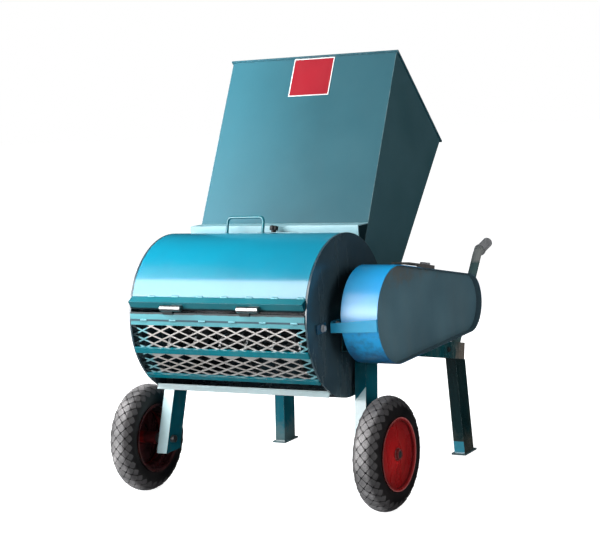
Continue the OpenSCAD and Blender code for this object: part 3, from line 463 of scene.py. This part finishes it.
def plain_enamels():
    rail_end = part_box("side_rail_right")[1].y
    bar_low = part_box("cover_edge_angle")[0].z
    face_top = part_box("guard_face")[1].z
    handle_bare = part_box("grip_right")[0].z - HANDLE_BARE_BELOW_GRIP
    enamel("teal_enamel", (8, 116, 128), (4, 100, 114), dust=0.15)
    enamel("leg_enamel", (4, 96, 112), (4, 80, 94), dust=0.08, coat=0.8, zones=[ground_dust])
    enamel("side_rail_enamel", (10, 84, 92), (8, 70, 78), dust=0.3, coat=0.3, zones=[
        zone((132, 122, 112), BACK, rail_end - RAIL_BARE_START, rail_end - RAIL_BARE_END, 0.9)])
    enamel("end_plate_enamel", (60, 80, 90), (48, 68, 78), dust=0.15, gloss=0.22, coat=0.3)
    # The dark band along the edge bar's lower edge is painted shadow.
    enamel("edge_bar_enamel", (8, 112, 124), (4, 100, 112), dust=0.1, gloss=0.5, coat=0.0, zones=[
        zone((6, 28, 34), UP, bar_low + SHADOW_LINE_START, bar_low + SHADOW_LINE_END, 0.9)])
    enamel("worn_primer", (198, 216, 219), (176, 200, 204), dust=0.2, gloss=0.35, coat=0.2)
    enamel("throat_primer", (150, 190, 198), (132, 176, 185), dust=0.2, gloss=0.35, coat=0.2)
    # The hopper's front grows paler towards the left: painted light.
    enamel("hopper_enamel", (50, 93, 104), (44, 87, 98), dust=0.02, gloss=0.3, coat=0.9, coat_rough=0.06, zones=[
        zone((56, 116, 132), LEFT, *HOPPER_PAINTED_LIGHT, 0.6, uneven=0.02)])
    # The hopper's right side takes a lighter, greyer copy of the hopper's paint: painted light lifting its shade.
    enamel("hopper_side_painted_light_enamel", (70, 104, 112), (58, 94, 102), dust=0.06, gloss=0.3, coat=0.6, coat_rough=0.1)
    enamel("cover_enamel", (0, 132, 160), (0, 126, 154), dust=0.03, gloss=0.3, coat=1.0, coat_rough=0.16)
    # The strap's front foot takes a darker copy of the strap's paint: painted shade on a face turned from the
    # light.
    enamel("strap_foot_shaded_enamel", (14, 78, 106), (10, 64, 90), dust=0.1, gloss=0.3, coat=0.3)
    enamel("strap_enamel", (40, 172, 216), (28, 156, 204), dust=0.15, gloss=0.35, coat=0.3)
    enamel("guard_face_enamel", (92, 124, 136), (78, 108, 120), dust=0.2, gloss=0.36, coat=0.1, zones=[
        zone((104, 96, 88), UP, face_top - GUARD_SOILED_BELOW, face_top + GUARD_SOILED_ABOVE, 0.6)])
    enamel("handle_enamel", (86, 114, 116), (70, 98, 100), dust=0.3, zones=[
        zone((160, 162, 160), UP, handle_bare, handle_bare + HANDLE_BARE_FADE, 0.9)])
    enamel("red_enamel", (150, 58, 58), (120, 40, 40), dust=0.4, gloss=0.4, coat=0.2)
    enamel("plate_enamel", (150, 24, 38), (138, 20, 34), dust=0.05, gloss=0.3, coat=0.2)
    enamel("pale_enamel", (226, 226, 226), (210, 212, 212), dust=0.2, gloss=0.35, coat=0.1)


def bare_metals():
    teal = (96, 178, 190)
    bare("screen_steel", (206, 202, 198), (146, 130, 118), 0.25, ALONG_X, metallic=0.45, zones=[
        zone(teal, RIGHT, *SCREEN_TEAL_RIGHT, 0.8),
        zone(teal, LEFT, *SCREEN_TEAL_LEFT, 0.8),
        # Painted shade at the screens' left ends.
        zone((14, 30, 36), LEFT, *SCREEN_SHADE_LEFT, 0.95)])
    bare("bright_steel", (206, 206, 206), (128, 112, 100), 0.25, ALONG_X)
    bare("zinc_steel", (204, 206, 210), (140, 136, 130), 0.25, ALONG_X, metallic=0.4)
    bare("weathered_steel", (150, 144, 140), (104, 90, 80), 0.6, ALONG_Y, bump=0.3, metallic=0.4)
    bare("dark_iron", (72, 72, 74), (66, 54, 46), 0.5, ALONG_Y, bump=0.3, metallic=0.6)
    bare("weld_steel", (112, 180, 192), (76, 132, 142), 0.4, ALONG_X, bump=0.3, metallic=0.2)


def rubbers():
    rubber("sidewall_rubber", (22, 21, 23), (76, 71, 70), 0.3)
    rubber("grip_rubber", (146, 146, 149), (190, 190, 192), 0.55)
    rubber("belt_rubber", (24, 24, 25), (96, 90, 84), 0.4, bump=0.4)
    rubber("knob_plastic", (16, 16, 17), (70, 66, 62), 0.25)


def tread_rubber(side):
    """Worn grey in the middle of the tread, with painted shade darkening its shoulders."""
    shoulder_shade = []
    for outwards in (LEFT, RIGHT):
        mid = outwards[0] * wheel_mid[side].x
        shoulder_shade.append(zone((60, 58, 59), outwards, mid + SHOULDER_SHADE_START, mid + SHOULDER_SHADE_END, 0.85, uneven=0.1))
    rubber("tread_rubber_" + side, (96, 95, 96), (186, 182, 182), 0.8, zones=shoulder_shade)


def guard_band_enamel():
    """Blue outside with painted shade towards the bottom, slate towards the rear, and slate inside the band, told
    apart by which way a face looks.
    """
    low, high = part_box("guard_band")
    slate_y = low.y + GUARD_SLATE_START
    material = enamel(
        "guard_enamel", (0, 166, 226), (0, 150, 216), dust=0.03, gloss=0.3, coat=1.0, coat_rough=0.34, zones=[
            # Painted shade: the band darker towards its bottom.
            zone((0, 66, 112), UP, low.z + GUARD_SHADE_RISE, low.z, 0.85),
            zone((74, 92, 100), BACK, slate_y, slate_y + GUARD_SLATE_FADE, 0.9)])
    front_r = (high.z - low.z) / 2
    front = Vector((0, low.y + front_r, low.z + front_r))
    to_motor = joint_at["motor_spin"] - joint_at["rotor_spin"]
    to_motor.x = 0
    along = to_motor.normalized()

    tree = material.node_tree
    from_front = vectors(tree, "SUBTRACT", object_place(tree), front)
    travel = maths(tree, "MAXIMUM", dot(tree, from_front, along), 0.0)
    travel = maths(tree, "MINIMUM", travel, to_motor.length)
    travel = node(tree, "ShaderNodeCombineXYZ", {"X": travel, "Y": travel, "Z": travel}).outputs["Vector"]
    spoke = vectors(tree, "SUBTRACT", from_front, vectors(tree, "MULTIPLY", along, travel))
    looks_out = dot(tree, vectors(tree, "MULTIPLY", spoke, ROUND_X), surface_normal(tree))
    repaint(material, (ramp(tree, looks_out, *GUARD_INSIDE), (70, 92, 102)))


def cage_rail_enamel():
    """Pale teal, with a painted shadow line along the rail's top edge and another along its fold, standing in for
    the shade in an open seam.
    """
    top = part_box("cage_top_rail")[1].z
    material = enamel("cage_rail_enamel", (56, 144, 154), (44, 128, 140), dust=0.15, gloss=0.5, coat=0.0, zones=[
        zone((8, 26, 32), UP, top - SHADOW_LINE_START, top - SHADOW_LINE_END, 0.95)])
    tree = material.node_tree
    parts = split(tree, vectors(tree, "SUBTRACT", object_place(tree), drum_mid))
    turn = maths(tree, "ARCTAN2", parts["Z"], maths(tree, "MULTIPLY", parts["Y"], -1.0))
    off = maths(tree, "ABSOLUTE", maths(tree, "SUBTRACT", turn, math.radians(RAIL_FOLD_ANGLE)))
    # Painted shadow line along the fold, standing in for the shade in an open seam.
    repaint(material, (ramp(tree, off, SEAM_SHADOW_EDGE, SEAM_SHADOW_CORE, 0.0, 0.85), (8, 52, 74)))


def front_faced_enamel(name, tone, deep, lit_tone, top, coat, climb=0.0):
    """Enamel with a painted-light tone on the faces that look forwards, up to a border that may climb outwards and
    marks where a cast shadow begins.
    """
    material = enamel(name, tone, deep, dust=0.1, coat=coat, zones=[ground_dust])
    tree = material.node_tree
    place = object_place(tree)
    parts = split(tree, place)
    outwards = maths(tree, "SUBTRACT", maths(tree, "ABSOLUTE", parts["X"]), LEG_FACE_X)
    height = maths(tree, "SUBTRACT", parts["Z"], maths(tree, "MULTIPLY", outwards, climb))
    cloud = noise(tree, place, 18.0, 5.0)
    mask = ramp(tree, dot(tree, surface_normal(tree), FORWARDS), 0.75, 0.9)
    mask = maths(tree, "MULTIPLY", mask, ramp(tree, cloud, 0.25, 0.6, 0.75, 0.95))
    mask = maths(tree, "MULTIPLY", mask, ramp(tree, height, top + LEG_BORDER_FADE, top))
    repaint(material, (mask, lit_tone))


def rim_enamel(side):
    """Red enamel with painted shade darker away from the hub, a painted highlight as a pale ring on the flange, and
    painted shade towards the machine.
    """
    material = enamel("rim_enamel_" + side, (204, 36, 36), (176, 24, 28), dust=0.12, gloss=0.26, coat=0.5)
    tree = material.node_tree
    place = object_place(tree)
    from_mid = vectors(tree, "SUBTRACT", place, wheel_mid[side])
    spoke = vectors(tree, "MULTIPLY", from_mid, ROUND_X)
    radius = node(tree, "ShaderNodeVectorMath", {0: spoke}, operation="LENGTH").outputs["Value"]
    cloud = noise(tree, place, 14.0, 6.0)
    to_machine = RIGHT if side == "left" else LEFT
    inwards = dot(tree, surface_normal(tree), to_machine)
    depth = ramp(tree, dot(tree, from_mid, to_machine), -RIM_INNER_SHADE_DEPTH, 0.0)
    hidden = maths(tree, "MULTIPLY", depth, ramp(tree, inwards, -0.6, -0.2))
    hidden = maths(tree, "MAXIMUM", hidden, ramp(tree, inwards, -0.3, 0.5))
    inner_shade = maths(tree, "MULTIPLY", hidden, ramp(tree, cloud, 0.2, 0.6, 0.7, 0.96))
    # Painted shade away from the hub, a painted highlight on the flange, and painted shade towards the machine, in
    # that order.
    repaint(
        material,
        (ramp(tree, radius, *RIM_OUTER_SHADE, 0.0, 0.7), (112, 18, 22)),
        (ramp(tree, radius, *RIM_FLANGE_HIGHLIGHT, 0.0, 0.75), (202, 112, 110)),
        (inner_shade, (46, 30, 31)))


def make_finishes():
    plain_enamels()
    bare_metals()
    rubbers()
    guard_band_enamel()
    cage_rail_enamel()
    # The front legs' pale forward faces are painted light.
    front_faced_enamel(
        "front_leg_enamel", (4, 96, 112), (4, 80, 94), (184, 210, 214), LEG_PAINTED_LIGHT_TOP, coat=0.15,
        climb=LEG_PAINTED_LIGHT_CLIMB)
    # The right rear leg is a darker copy of the leg paint, painted shade, with painted light on its forward face
    # near the foot.
    front_faced_enamel("rear_leg_shaded_enamel", (8, 50, 54), (6, 40, 44), (60, 166, 194), FOOT_PAINTED_LIGHT_TOP, coat=0.5)
    for side in SIDES:
        rim_enamel(side)
        tread_rubber(side)


# Which finish each solid takes; the slot's usual one where it isn't named here
BY_SLOT = {
    "teal_paint": "teal_enamel", "cover_paint": "cover_enamel", "guard_paint": "guard_enamel",
    "bare_steel": "bright_steel", "dark_iron": "dark_iron", "grip_rubber": "grip_rubber",
    "tyre_rubber": "sidewall_rubber", "wheel_paint": "red_enamel",
}
BY_FINISH = {
    "hopper_enamel": ["hopper_front", "hopper_left", "hopper_rear", "hopper_rim"],
    "hopper_side_painted_light_enamel": ["hopper_right"],
    "front_leg_enamel": ["front_leg_left", "front_leg_right"],
    "leg_enamel": ["rear_leg_left", "foot_plates"],
    "rear_leg_shaded_enamel": ["rear_leg_right"],
    "side_rail_enamel": ["side_rail_left", "side_rail_right"],
    "end_plate_enamel": ["end_plate_left", "end_plate_right", "lower_shell"],
    "cage_rail_enamel": ["cage_top_rail"],
    "worn_primer": ["bottom_lip"],
    "throat_primer": ["throat_strip"],
    "strap_enamel": ["guard_bracket"],
    "guard_face_enamel": ["guard_face"],
    "handle_enamel": ["push_handle_left", "push_handle_right"],
    "edge_bar_enamel": ["cover_edge_angle"],
    "teal_enamel": ["motor_casing", "motor_fan_cover", "terminal_box"],
    "screen_steel": ["screen_upper", "screen_lower"],
    "weathered_steel": ["guard_stay"],
    "red_enamel": ["axle_nuts"],
    "dark_iron": ["frame_bolts", "stub_axles"],
    "rim_enamel_left": ["rim_left"],
    "rim_enamel_right": ["rim_right"],
    "belt_rubber": ["drive_belts"],
    "knob_plastic": ["latch_knob"],
}
BY_NODE = {name: finish for finish, names in BY_FINISH.items() for name in names}


def dress_solids():
    for part in frame["record"]["subparts"]:
        name = part["node"]
        chosen = BY_NODE.get(name, BY_SLOT[part["material_slot"]])
        mesh = nodes[name].data
        mesh.materials.clear()
        mesh.materials.append(materials[chosen])


# Tyres with staggered rounded blocks
TREAD_DEPTH = 3 * MM
BLOCK_ROOT = 2 * MM
BLOCK_WALL = 0.8 * TREAD_DEPTH
BLOCK_CROWN = 0.2 * TREAD_DEPTH
BLOCK_CROWN_INSET = 1.2 * MM
BLOCK_CORNER = 0.17  # share of the block's width
BLOCKS_ROUND = 32
ROW_STEP = 16 * MM
ROW_RELIEF = (0.35, 0.8, 1.0, 1.0, 1.0, 0.8, 0.35)  # share of the depth, row by row across the tread
GROOVE = 2.4 * MM
BEAD_RING_ANGLE, BEAD_RING_HALF = 112, 4  # degrees round the section from the tread's middle
BEAD_RING_RISE = 1.2 * MM
BEAD_SEAT = 5.6 * MM
ring_r = wheel_r - tyre_half


def tyre_carcass(mid, bead_r):
    """The tyre's body: a ring whose inner side lies flat on the rim's seat, with a line round each bead."""
    body = start(
        bpy.ops.mesh.primitive_torus_add, location=mid, rotation=(0, math.pi / 2, 0),
        major_radius=ring_r, minor_radius=tyre_half - TREAD_DEPTH, major_segments=128, minor_segments=48)
    bpy.ops.object.mode_set(mode="OBJECT")
    bpy.ops.object.transform_apply(location=True, rotation=True, scale=True)
    for point in body.data.vertices:
        across = point.co.x - mid.x
        spoke = Vector((0, point.co.y - mid.y, point.co.z - mid.z))
        lean = math.degrees(math.atan2(abs(across), spoke.length - ring_r))
        if abs(lean - BEAD_RING_ANGLE) < BEAD_RING_HALF:
            point.co.x += math.copysign(BEAD_RING_RISE, across)
        if spoke.length < bead_r:
            spoke = spoke.normalized() * bead_r
            point.co.y = mid.y + spoke.y
            point.co.z = mid.z + spoke.z
    done(body, "carcass", 60)
    body.data.materials.append(materials["sidewall_rubber"])
    return body


def tread_block(length, width, material):
    """One rounded diamond, flat: X round the wheel, Y across it, Z out of the tread."""
    block = start(bpy.ops.mesh.primitive_circle_add, vertices=4, radius=0.5, fill_type="NGON")
    bpy.ops.transform.resize(value=(length, width, 1))
    bpy.ops.mesh.bevel(offset=width * BLOCK_CORNER, segments=2, affect="VERTICES")
    bpy.ops.mesh.select_all(action="SELECT")
    bpy.ops.mesh.extrude_region_move(TRANSFORM_OT_translate={"value": (0, 0, BLOCK_ROOT + BLOCK_WALL)})
    bpy.ops.mesh.inset(thickness=BLOCK_CROWN_INSET, depth=BLOCK_CROWN)
    done(block, "tread_block", 20)
    block.data.materials.append(material)
    return block


def wrap_on_tyre(mesh, mid, turn, roll, relief):
    """Lays a flat block on the tyre, at a turn round the wheel and a roll across the tread."""
    root = tyre_half - TREAD_DEPTH - BLOCK_ROOT - (1 - relief) * TREAD_DEPTH
    for point in mesh.vertices:
        lean = roll + point.co.y / tyre_half
        angle = turn + point.co.x / wheel_r
        out = root + point.co.z
        spoke = ring_r + out * math.cos(lean)
        point.co = mid + Vector((out * math.sin(lean), spoke * math.cos(angle), spoke * math.sin(angle)))


def tyre(side):
    mid = wheel_mid[side]
    bead_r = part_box("rim_" + side)[1].z - mid.z - BEAD_SEAT
    pitch = 2 * math.pi / BLOCKS_ROUND
    block = tread_block(pitch * wheel_r - GROOVE, 2 * ROW_STEP - GROOVE, materials["tread_rubber_" + side])
    pieces = [tyre_carcass(mid, bead_r)]
    for row, relief in enumerate(ROW_RELIEF):
        roll = (row - (len(ROW_RELIEF) - 1) / 2) * ROW_STEP / tyre_half
        for index in range(BLOCKS_ROUND):
            copy = own_copy(block)
            wrap_on_tyre(copy.data, mid, (index + row % 2 / 2) * pitch, roll, relief)
            pieces.append(copy)
    discard(block)
    made = joined(pieces, "tyre_with_tread_" + side)
    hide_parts("tyre_" + side)
    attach(made, side + "_wheel")


# Red plate on the hopper front
PLATE_SIZE = Vector((160 * MM, 144 * MM, 1.2 * MM))
PLATE_X = 8.5 * MM
PLATE_BELOW_RIM = 1 * MM
PLATE_BORDER = 3 * MM
PLATE_STEP_IN, PLATE_STEP_DOWN = 0.6 * MM, 0.3 * MM
PLATE_GAP = 0.05 * MM
SHEET_LAP = 1.5 * MM


def hopper_front_frame():
    """A frame at the top of the hopper front: X across, Y up the panel, Z out of it."""
    low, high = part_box("hopper_front")
    lean = math.atan2(high.y - low.y, high.z - low.z)
    top = Vector((drum_mid.x, high.y - SHEET_LAP, high.z))
    return Matrix.Translation(top) @ Matrix.Rotation(math.pi / 2 - lean, 4, "X")


def bare_plate():
    """A bare red plate with a raised pale edge."""
    plate = start(bpy.ops.mesh.primitive_cube_add, size=1)
    bpy.ops.transform.resize(value=PLATE_SIZE)
    pick(plate, lambda centre, normal: normal.z > 0.9)
    bpy.ops.mesh.inset(thickness=PLATE_BORDER, depth=0)
    bpy.ops.mesh.inset(thickness=PLATE_STEP_IN, depth=-PLATE_STEP_DOWN)
    done(plate, "label_plate", 20)
    field = max(plate.data.polygons, key=lambda face: face.area if face.normal.z > 0.9 else 0)
    plate.data.materials.append(materials["pale_enamel"])
    plate.data.materials.append(materials["plate_enamel"])
    field.material_index = 1
    offset = Vector((PLATE_X, -PLATE_SIZE.y / 2 - PLATE_BELOW_RIM, PLATE_SIZE.z / 2 + PLATE_GAP))
    plate.data.transform(hopper_front_frame() @ Matrix.Translation(offset))
    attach(plate, "chassis")


# Front foot of the guard's strap
FRONT_FOOT = (5 * MM, 60 * MM, 30 * MM)
FRONT_FOOT_REACH = 182 * MM
FRONT_FOOT_RISE = 18 * MM
FOOT_RIM, FOOT_DISH = 0.8 * MM, 0.4 * MM


def strap_front_foot():
    """The bent end of the guard's strap, flat on the end plate."""
    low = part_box("guard_bracket")[0]
    foot = start(bpy.ops.mesh.primitive_cube_add, size=1)
    bpy.ops.transform.resize(value=FRONT_FOOT)
    pick(foot, lambda centre, normal: normal.x > 0.9)
    bpy.ops.mesh.inset(thickness=FOOT_RIM, depth=0)
    bpy.ops.transform.translate(value=(-FOOT_DISH, 0, 0))
    done(foot, "strap_front_foot", 30)
    spot = Vector((low.x + FRONT_FOOT[0] / 2, drum_mid.y - FRONT_FOOT_REACH, low.z + FRONT_FOOT_RISE))
    foot.data.transform(Matrix.Translation(spot))
    # The foot's darker paint is painted shade.
    finish_piece(foot, materials["strap_foot_shaded_enamel"], "chassis")


# Bolts
BOLT_ACROSS = 17 * MM
BOLT_HEAD = 7 * MM
HEAD_CHAMFER_IN, HEAD_CHAMFER_UP = 1.2 * MM, 0.8 * MM
HEAD_DISH_IN, HEAD_DISH_DOWN = 1.5 * MM, 0.3 * MM
WASHER_T = 2 * MM
WASHER_R = 0.72 * BOLT_ACROSS
WASHER_EDGE = 0.4 * MM
BEARING_FLANGE_T = 12 * MM
BEARING_BOLT_R = 41 * MM
STRAP_T = 6 * MM
STRAP_HALF_W = 15 * MM
STRAP_BOLT_FROM_END = 18 * MM
FRONT_BOLT_REACH = 176 * MM
STAY_W = 40 * MM
STAY_PITCH = math.radians(10.74)
STAY_BOLTS_FROM_END = (18 * MM, 54 * MM)
RAIL_PITCH = math.radians(12)
MOTOR_FEET_FROM_ENDS = (55 * MM, 63 * MM)
MOTOR_FEET_HALF = 76 * MM
MOTOR_FEET_DROP = 96 * MM


def hex_bolt(name):
    """A bolt head on its washer, standing on z 0."""
    bolt = start(
        bpy.ops.mesh.primitive_cylinder_add, vertices=6, radius=BOLT_ACROSS / math.sqrt(3),
        depth=BOLT_HEAD, location=(0, 0, WASHER_T + BOLT_HEAD / 2))
    top = BOLT_HEAD / 2
    pick(bolt, lambda centre, normal: centre.z > top - HEAD_CHAMFER_UP / 2)
    bpy.ops.mesh.inset(thickness=HEAD_CHAMFER_IN, depth=HEAD_CHAMFER_UP)
    pick(bolt, lambda centre, normal: centre.z > top + 0.6 * HEAD_CHAMFER_UP)
    bpy.ops.mesh.inset(thickness=HEAD_DISH_IN, depth=-HEAD_DISH_DOWN)
    bpy.ops.mesh.primitive_cylinder_add(vertices=28, radius=WASHER_R, depth=WASHER_T, location=(0, 0, WASHER_T / 2))
    bpy.ops.mesh.bevel(offset=WASHER_EDGE, segments=2, affect="EDGES")
    return done(bolt, name, 30)


def bearing_bolt_places(side):
    """Four bolts on the bearing's flange."""
    low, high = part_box("bearing_" + side)
    outwards = RIGHT if side == "right" else LEFT
    flange_x = low.x + BEARING_FLANGE_T if side == "right" else high.x - BEARING_FLANGE_T
    places = []
    for quarter in range(4):
        turn = math.radians(45 + 90 * quarter)
        spoke = Vector((0, math.cos(turn), math.sin(turn))) * BEARING_BOLT_R
        places.append(facing(Vector((flange_x, drum_mid.y, drum_mid.z)) + spoke, outwards))
    return places


def strap_bolt_places():
    """One bolt through the strap's rear foot and one through its front foot."""
    low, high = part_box("guard_bracket")
    rear = (low.x + STRAP_T, high.y - STRAP_BOLT_FROM_END, low.z + STRAP_HALF_W)
    front = (low.x + FRONT_FOOT[0], drum_mid.y - FRONT_BOLT_REACH, low.z + FRONT_FOOT_RISE)
    return [facing(rear, RIGHT), facing(front, RIGHT)]


def stay_bolt_places():
    """Two bolts down through the holes at the stay's rear end."""
    low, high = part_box("guard_stay")
    rear = Vector((high.x - STAY_W / 2, high.y, high.z - (high.y - low.y) * math.tan(STAY_PITCH)))
    towards_front = Vector((0, -math.cos(STAY_PITCH), math.sin(STAY_PITCH)))
    up = (0, math.sin(STAY_PITCH), math.cos(STAY_PITCH))
    return [facing(rear + towards_front * reach, up) for reach in STAY_BOLTS_FROM_END]


def motor_bolt_places():
    """One bolt at each end of the motor's two feet."""
    low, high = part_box("motor_casing")
    shaft = joint_at["motor_spin"]
    tilt = Matrix.Translation(shaft) @ Matrix.Rotation(-RAIL_PITCH, 4, "X")
    places = []
    for foot_x in (low.x + MOTOR_FEET_FROM_ENDS[0], high.x - MOTOR_FEET_FROM_ENDS[1]):
        for across in (-MOTOR_FEET_HALF, MOTOR_FEET_HALF):
            places.append(tilt @ Matrix.Translation((foot_x - shaft.x, across, -MOTOR_FEET_DROP)))
    return places


def bolts():
    pattern = hex_bolt("bolt_pattern")
    for name, places in (
            ("bearing_bolts_left", bearing_bolt_places("left")),
            ("bearing_bolts_right", bearing_bolt_places("right")),
            ("strap_bolt", strap_bolt_places()),
            ("stay_bolts", stay_bolt_places()),
            ("motor_bolts", motor_bolt_places())):
        finish_piece(copies(pattern, name, places), materials["zinc_steel"], "chassis")
    discard(pattern)


# Stitch welds
STITCH_L, STITCH_R = 20 * MM, 4 * MM
DROP_SPACING, DROP_SMALL, DROP_LIFT = 0.9, 0.92, 0.12  # shares of a drop's radius
BEAD_SPREAD, BEAD_FLATTEN = 1.15, 0.7
RIDGE_ANGLE = 19.9  # degrees up from the drum's front
RIDGE_SPAN, RIDGE_WELDS = (-250 * MM, 308 * MM), 7
RAIL_SPAN, RAIL_WELDS = (-275 * MM, 290 * MM), 6
RAIL_STEP = 2.5 * MM


def weld_bead(name, length, radius):
    """A short weld along X, laid down as overlapping drops."""
    drops = max(3, int(length / (DROP_SPACING * radius)))
    bead = start(
        bpy.ops.mesh.primitive_uv_sphere_add, segments=10, ring_count=6, radius=radius,
        location=(-length / 2, 0, 0))
    for index in range(1, drops):
        bpy.ops.mesh.primitive_uv_sphere_add(
            segments=10, ring_count=6, radius=radius * (1 if index % 2 else DROP_SMALL),
            location=(length * (index / (drops - 1) - 0.5), 0, DROP_LIFT * radius * (index % 3)))
    bpy.ops.mesh.select_all(action="SELECT")
    bpy.ops.transform.resize(value=(1, BEAD_SPREAD, BEAD_FLATTEN), center_override=(0, 0, 0))
    return done(bead, name, 60)


def along_drum(span, count, radius, angle):
    """Frames spaced evenly along the drum, on one line round it."""
    step = (span[1] - span[0]) / (count - 1)
    return [drum_frame(span[0] + step * index, radius, angle) for index in range(count)]


def welds():
    stitch = weld_bead("stitch_pattern", STITCH_L, STITCH_R)
    ridge = along_drum(RIDGE_SPAN, RIDGE_WELDS, drum_r, RIDGE_ANGLE)
    rail = along_drum(RAIL_SPAN, RAIL_WELDS, drum_r + RAIL_STEP, RAIL_FOLD_ANGLE)
    finish_piece(copies(stitch, "cover_stitch_welds", ridge), materials["weld_steel"], "cover")
    finish_piece(copies(stitch, "cage_rail_welds", rail), materials["weld_steel"], "chassis")
    discard(stitch)


# Lights, floor and camera
CAMERA_FROM_DRUM = Vector((2754.94, -4457.30, 763.99)) * MM
CAMERA_RIGHT = Vector((0.86692943, 0.49452135, -0.06230566))
CAMERA_UP = Vector((-0.00596986, 0.13529667, 0.99078715))
LENS, SENSOR = 96.02, 36
VIEW_DEPTH = 100
FLOOR_SIZE = 60
FLOOR_LIFT = 0.95
MIRRORED_ROOM = 0.2


def camera():
    deselect()
    bpy.ops.object.camera_add()
    eye = bpy.context.object
    eye.name = "photo_camera"
    back = CAMERA_RIGHT.cross(CAMERA_UP)
    turn = Matrix((CAMERA_RIGHT, CAMERA_UP, back)).transposed().to_4x4()
    eye.matrix_world = Matrix.Translation(drum_mid + CAMERA_FROM_DRUM) @ turn
    eye.data.lens = LENS
    eye.data.sensor_width = SENSOR
    eye.data.dof.use_dof = False
    eye.data.clip_end = VIEW_DEPTH
    bpy.context.scene.camera = eye


def soft_light(name, place, target, size, power, mirrored=True, lighting=True):
    """A softbox at a place given from the drum's middle, facing a target given the same way."""
    deselect()
    bpy.ops.object.light_add(type="AREA", location=drum_mid + Vector(place))
    lamp = bpy.context.object
    lamp.name = name
    lamp.data.shape = "RECTANGLE"
    lamp.data.size, lamp.data.size_y = size
    lamp.data.energy = power
    lamp.visible_camera = False
    lamp.visible_glossy = mirrored
    lamp.visible_diffuse = lighting
    lamp.rotation_euler = (Vector(target) - Vector(place)).to_track_quat("-Z", "Y").to_euler()


def studio_world():
    """A white backdrop, and a room whose light comes from the left and the front and fades to the right."""
    world = bpy.data.worlds.new("studio")
    world.use_nodes = True
    tree = world.node_tree
    backdrop = tree.nodes["Background"]
    backdrop.inputs["Color"].default_value = (1, 1, 1, 1)
    towards = split(tree, node(tree, "ShaderNodeTexCoord").outputs["Generated"])
    from_left = ramp(tree, towards["X"], 0.55, -0.8, 0.1, 0.8)
    from_front = ramp(tree, towards["Y"], 0.7, -0.7, 0.3, 0.8)
    rays = node(tree, "ShaderNodeLightPath").outputs
    level = maths(tree, "MULTIPLY", from_left, from_front)
    level = maths(tree, "MULTIPLY", level, ramp(tree, rays["Is Glossy Ray"], 0.0, 1.0, 1.0, MIRRORED_ROOM))
    room = node(tree, "ShaderNodeBackground", {"Color": (0.92, 0.97, 1.0, 1), "Strength": level})
    both = node(tree, "ShaderNodeMixShader", {
        0: rays["Is Camera Ray"], 1: room.outputs["Background"], 2: backdrop.outputs["Background"]})
    tree.links.new(both.outputs["Shader"], tree.nodes["World Output"].inputs["Surface"])
    bpy.context.scene.world = world


def studio_floor():
    """Pale paper that looks white from the camera without throwing that light on the object."""
    paper = bpy.data.materials.new("pale_floor")
    paper.use_nodes = True
    tree = paper.node_tree
    seen = node(tree, "ShaderNodeLightPath").outputs["Is Camera Ray"]
    shader = {
        "Base Color": (0.6, 0.61, 0.62, 1), "Roughness": 0.95, "Emission Color": (1, 1, 1, 1),
        "Emission Strength": maths(tree, "MULTIPLY", seen, FLOOR_LIFT)}
    for socket, value in shader.items():
        feed(tree, tree.nodes["Principled BSDF"].inputs[socket], value)
    deselect()
    bpy.ops.mesh.primitive_plane_add(size=FLOOR_SIZE)
    floor = bpy.context.object
    floor.name = "studio_floor"
    floor.data.materials.append(paper)
    floor.visible_glossy = False


def studio():
    studio_world()
    studio_floor()
    soft_light("cover_strip", (-1.05, -1.455, 1.274), (-1.05, -0.23, 0.12), (1.4, 0.8), 23)
    soft_light("front_panel", (-2.5, -4.0, 0.5), (0, 0, 0), (3.4, 1.3), 150)
    soft_light("guard_glint", (-2.5, -4.0, 1.62), (0, 0, 0.3), (3.4, 0.9), 110, lighting=False)
    soft_light("left_panel", (-1.25, -0.75, 1.2), (-0.35, 0.33, 0.55), (0.5, 0.9), 40, mirrored=False)
    soft_light("overhead_panel", (-0.1, -0.6, 3.2), (0, 0.1, 0.2), (2.0, 2.0), 32, mirrored=False)
    soft_light("right_fill", (3.2, -0.6, 0.7), (0.4, 0.2, 0.1), (1.6, 1.6), 32, mirrored=False)
    soft_light("back_fill", (-0.6, 3.6, 1.3), (0, 0.6, 0.2), (2.4, 1.6), 60, mirrored=False)


make_finishes()
dress_solids()
for side in SIDES:
    tyre(side)
bare_plate()
bolts()
strap_front_foot()
welds()
studio()
camera()

bpy.context.scene.view_settings.view_transform = "Standard"
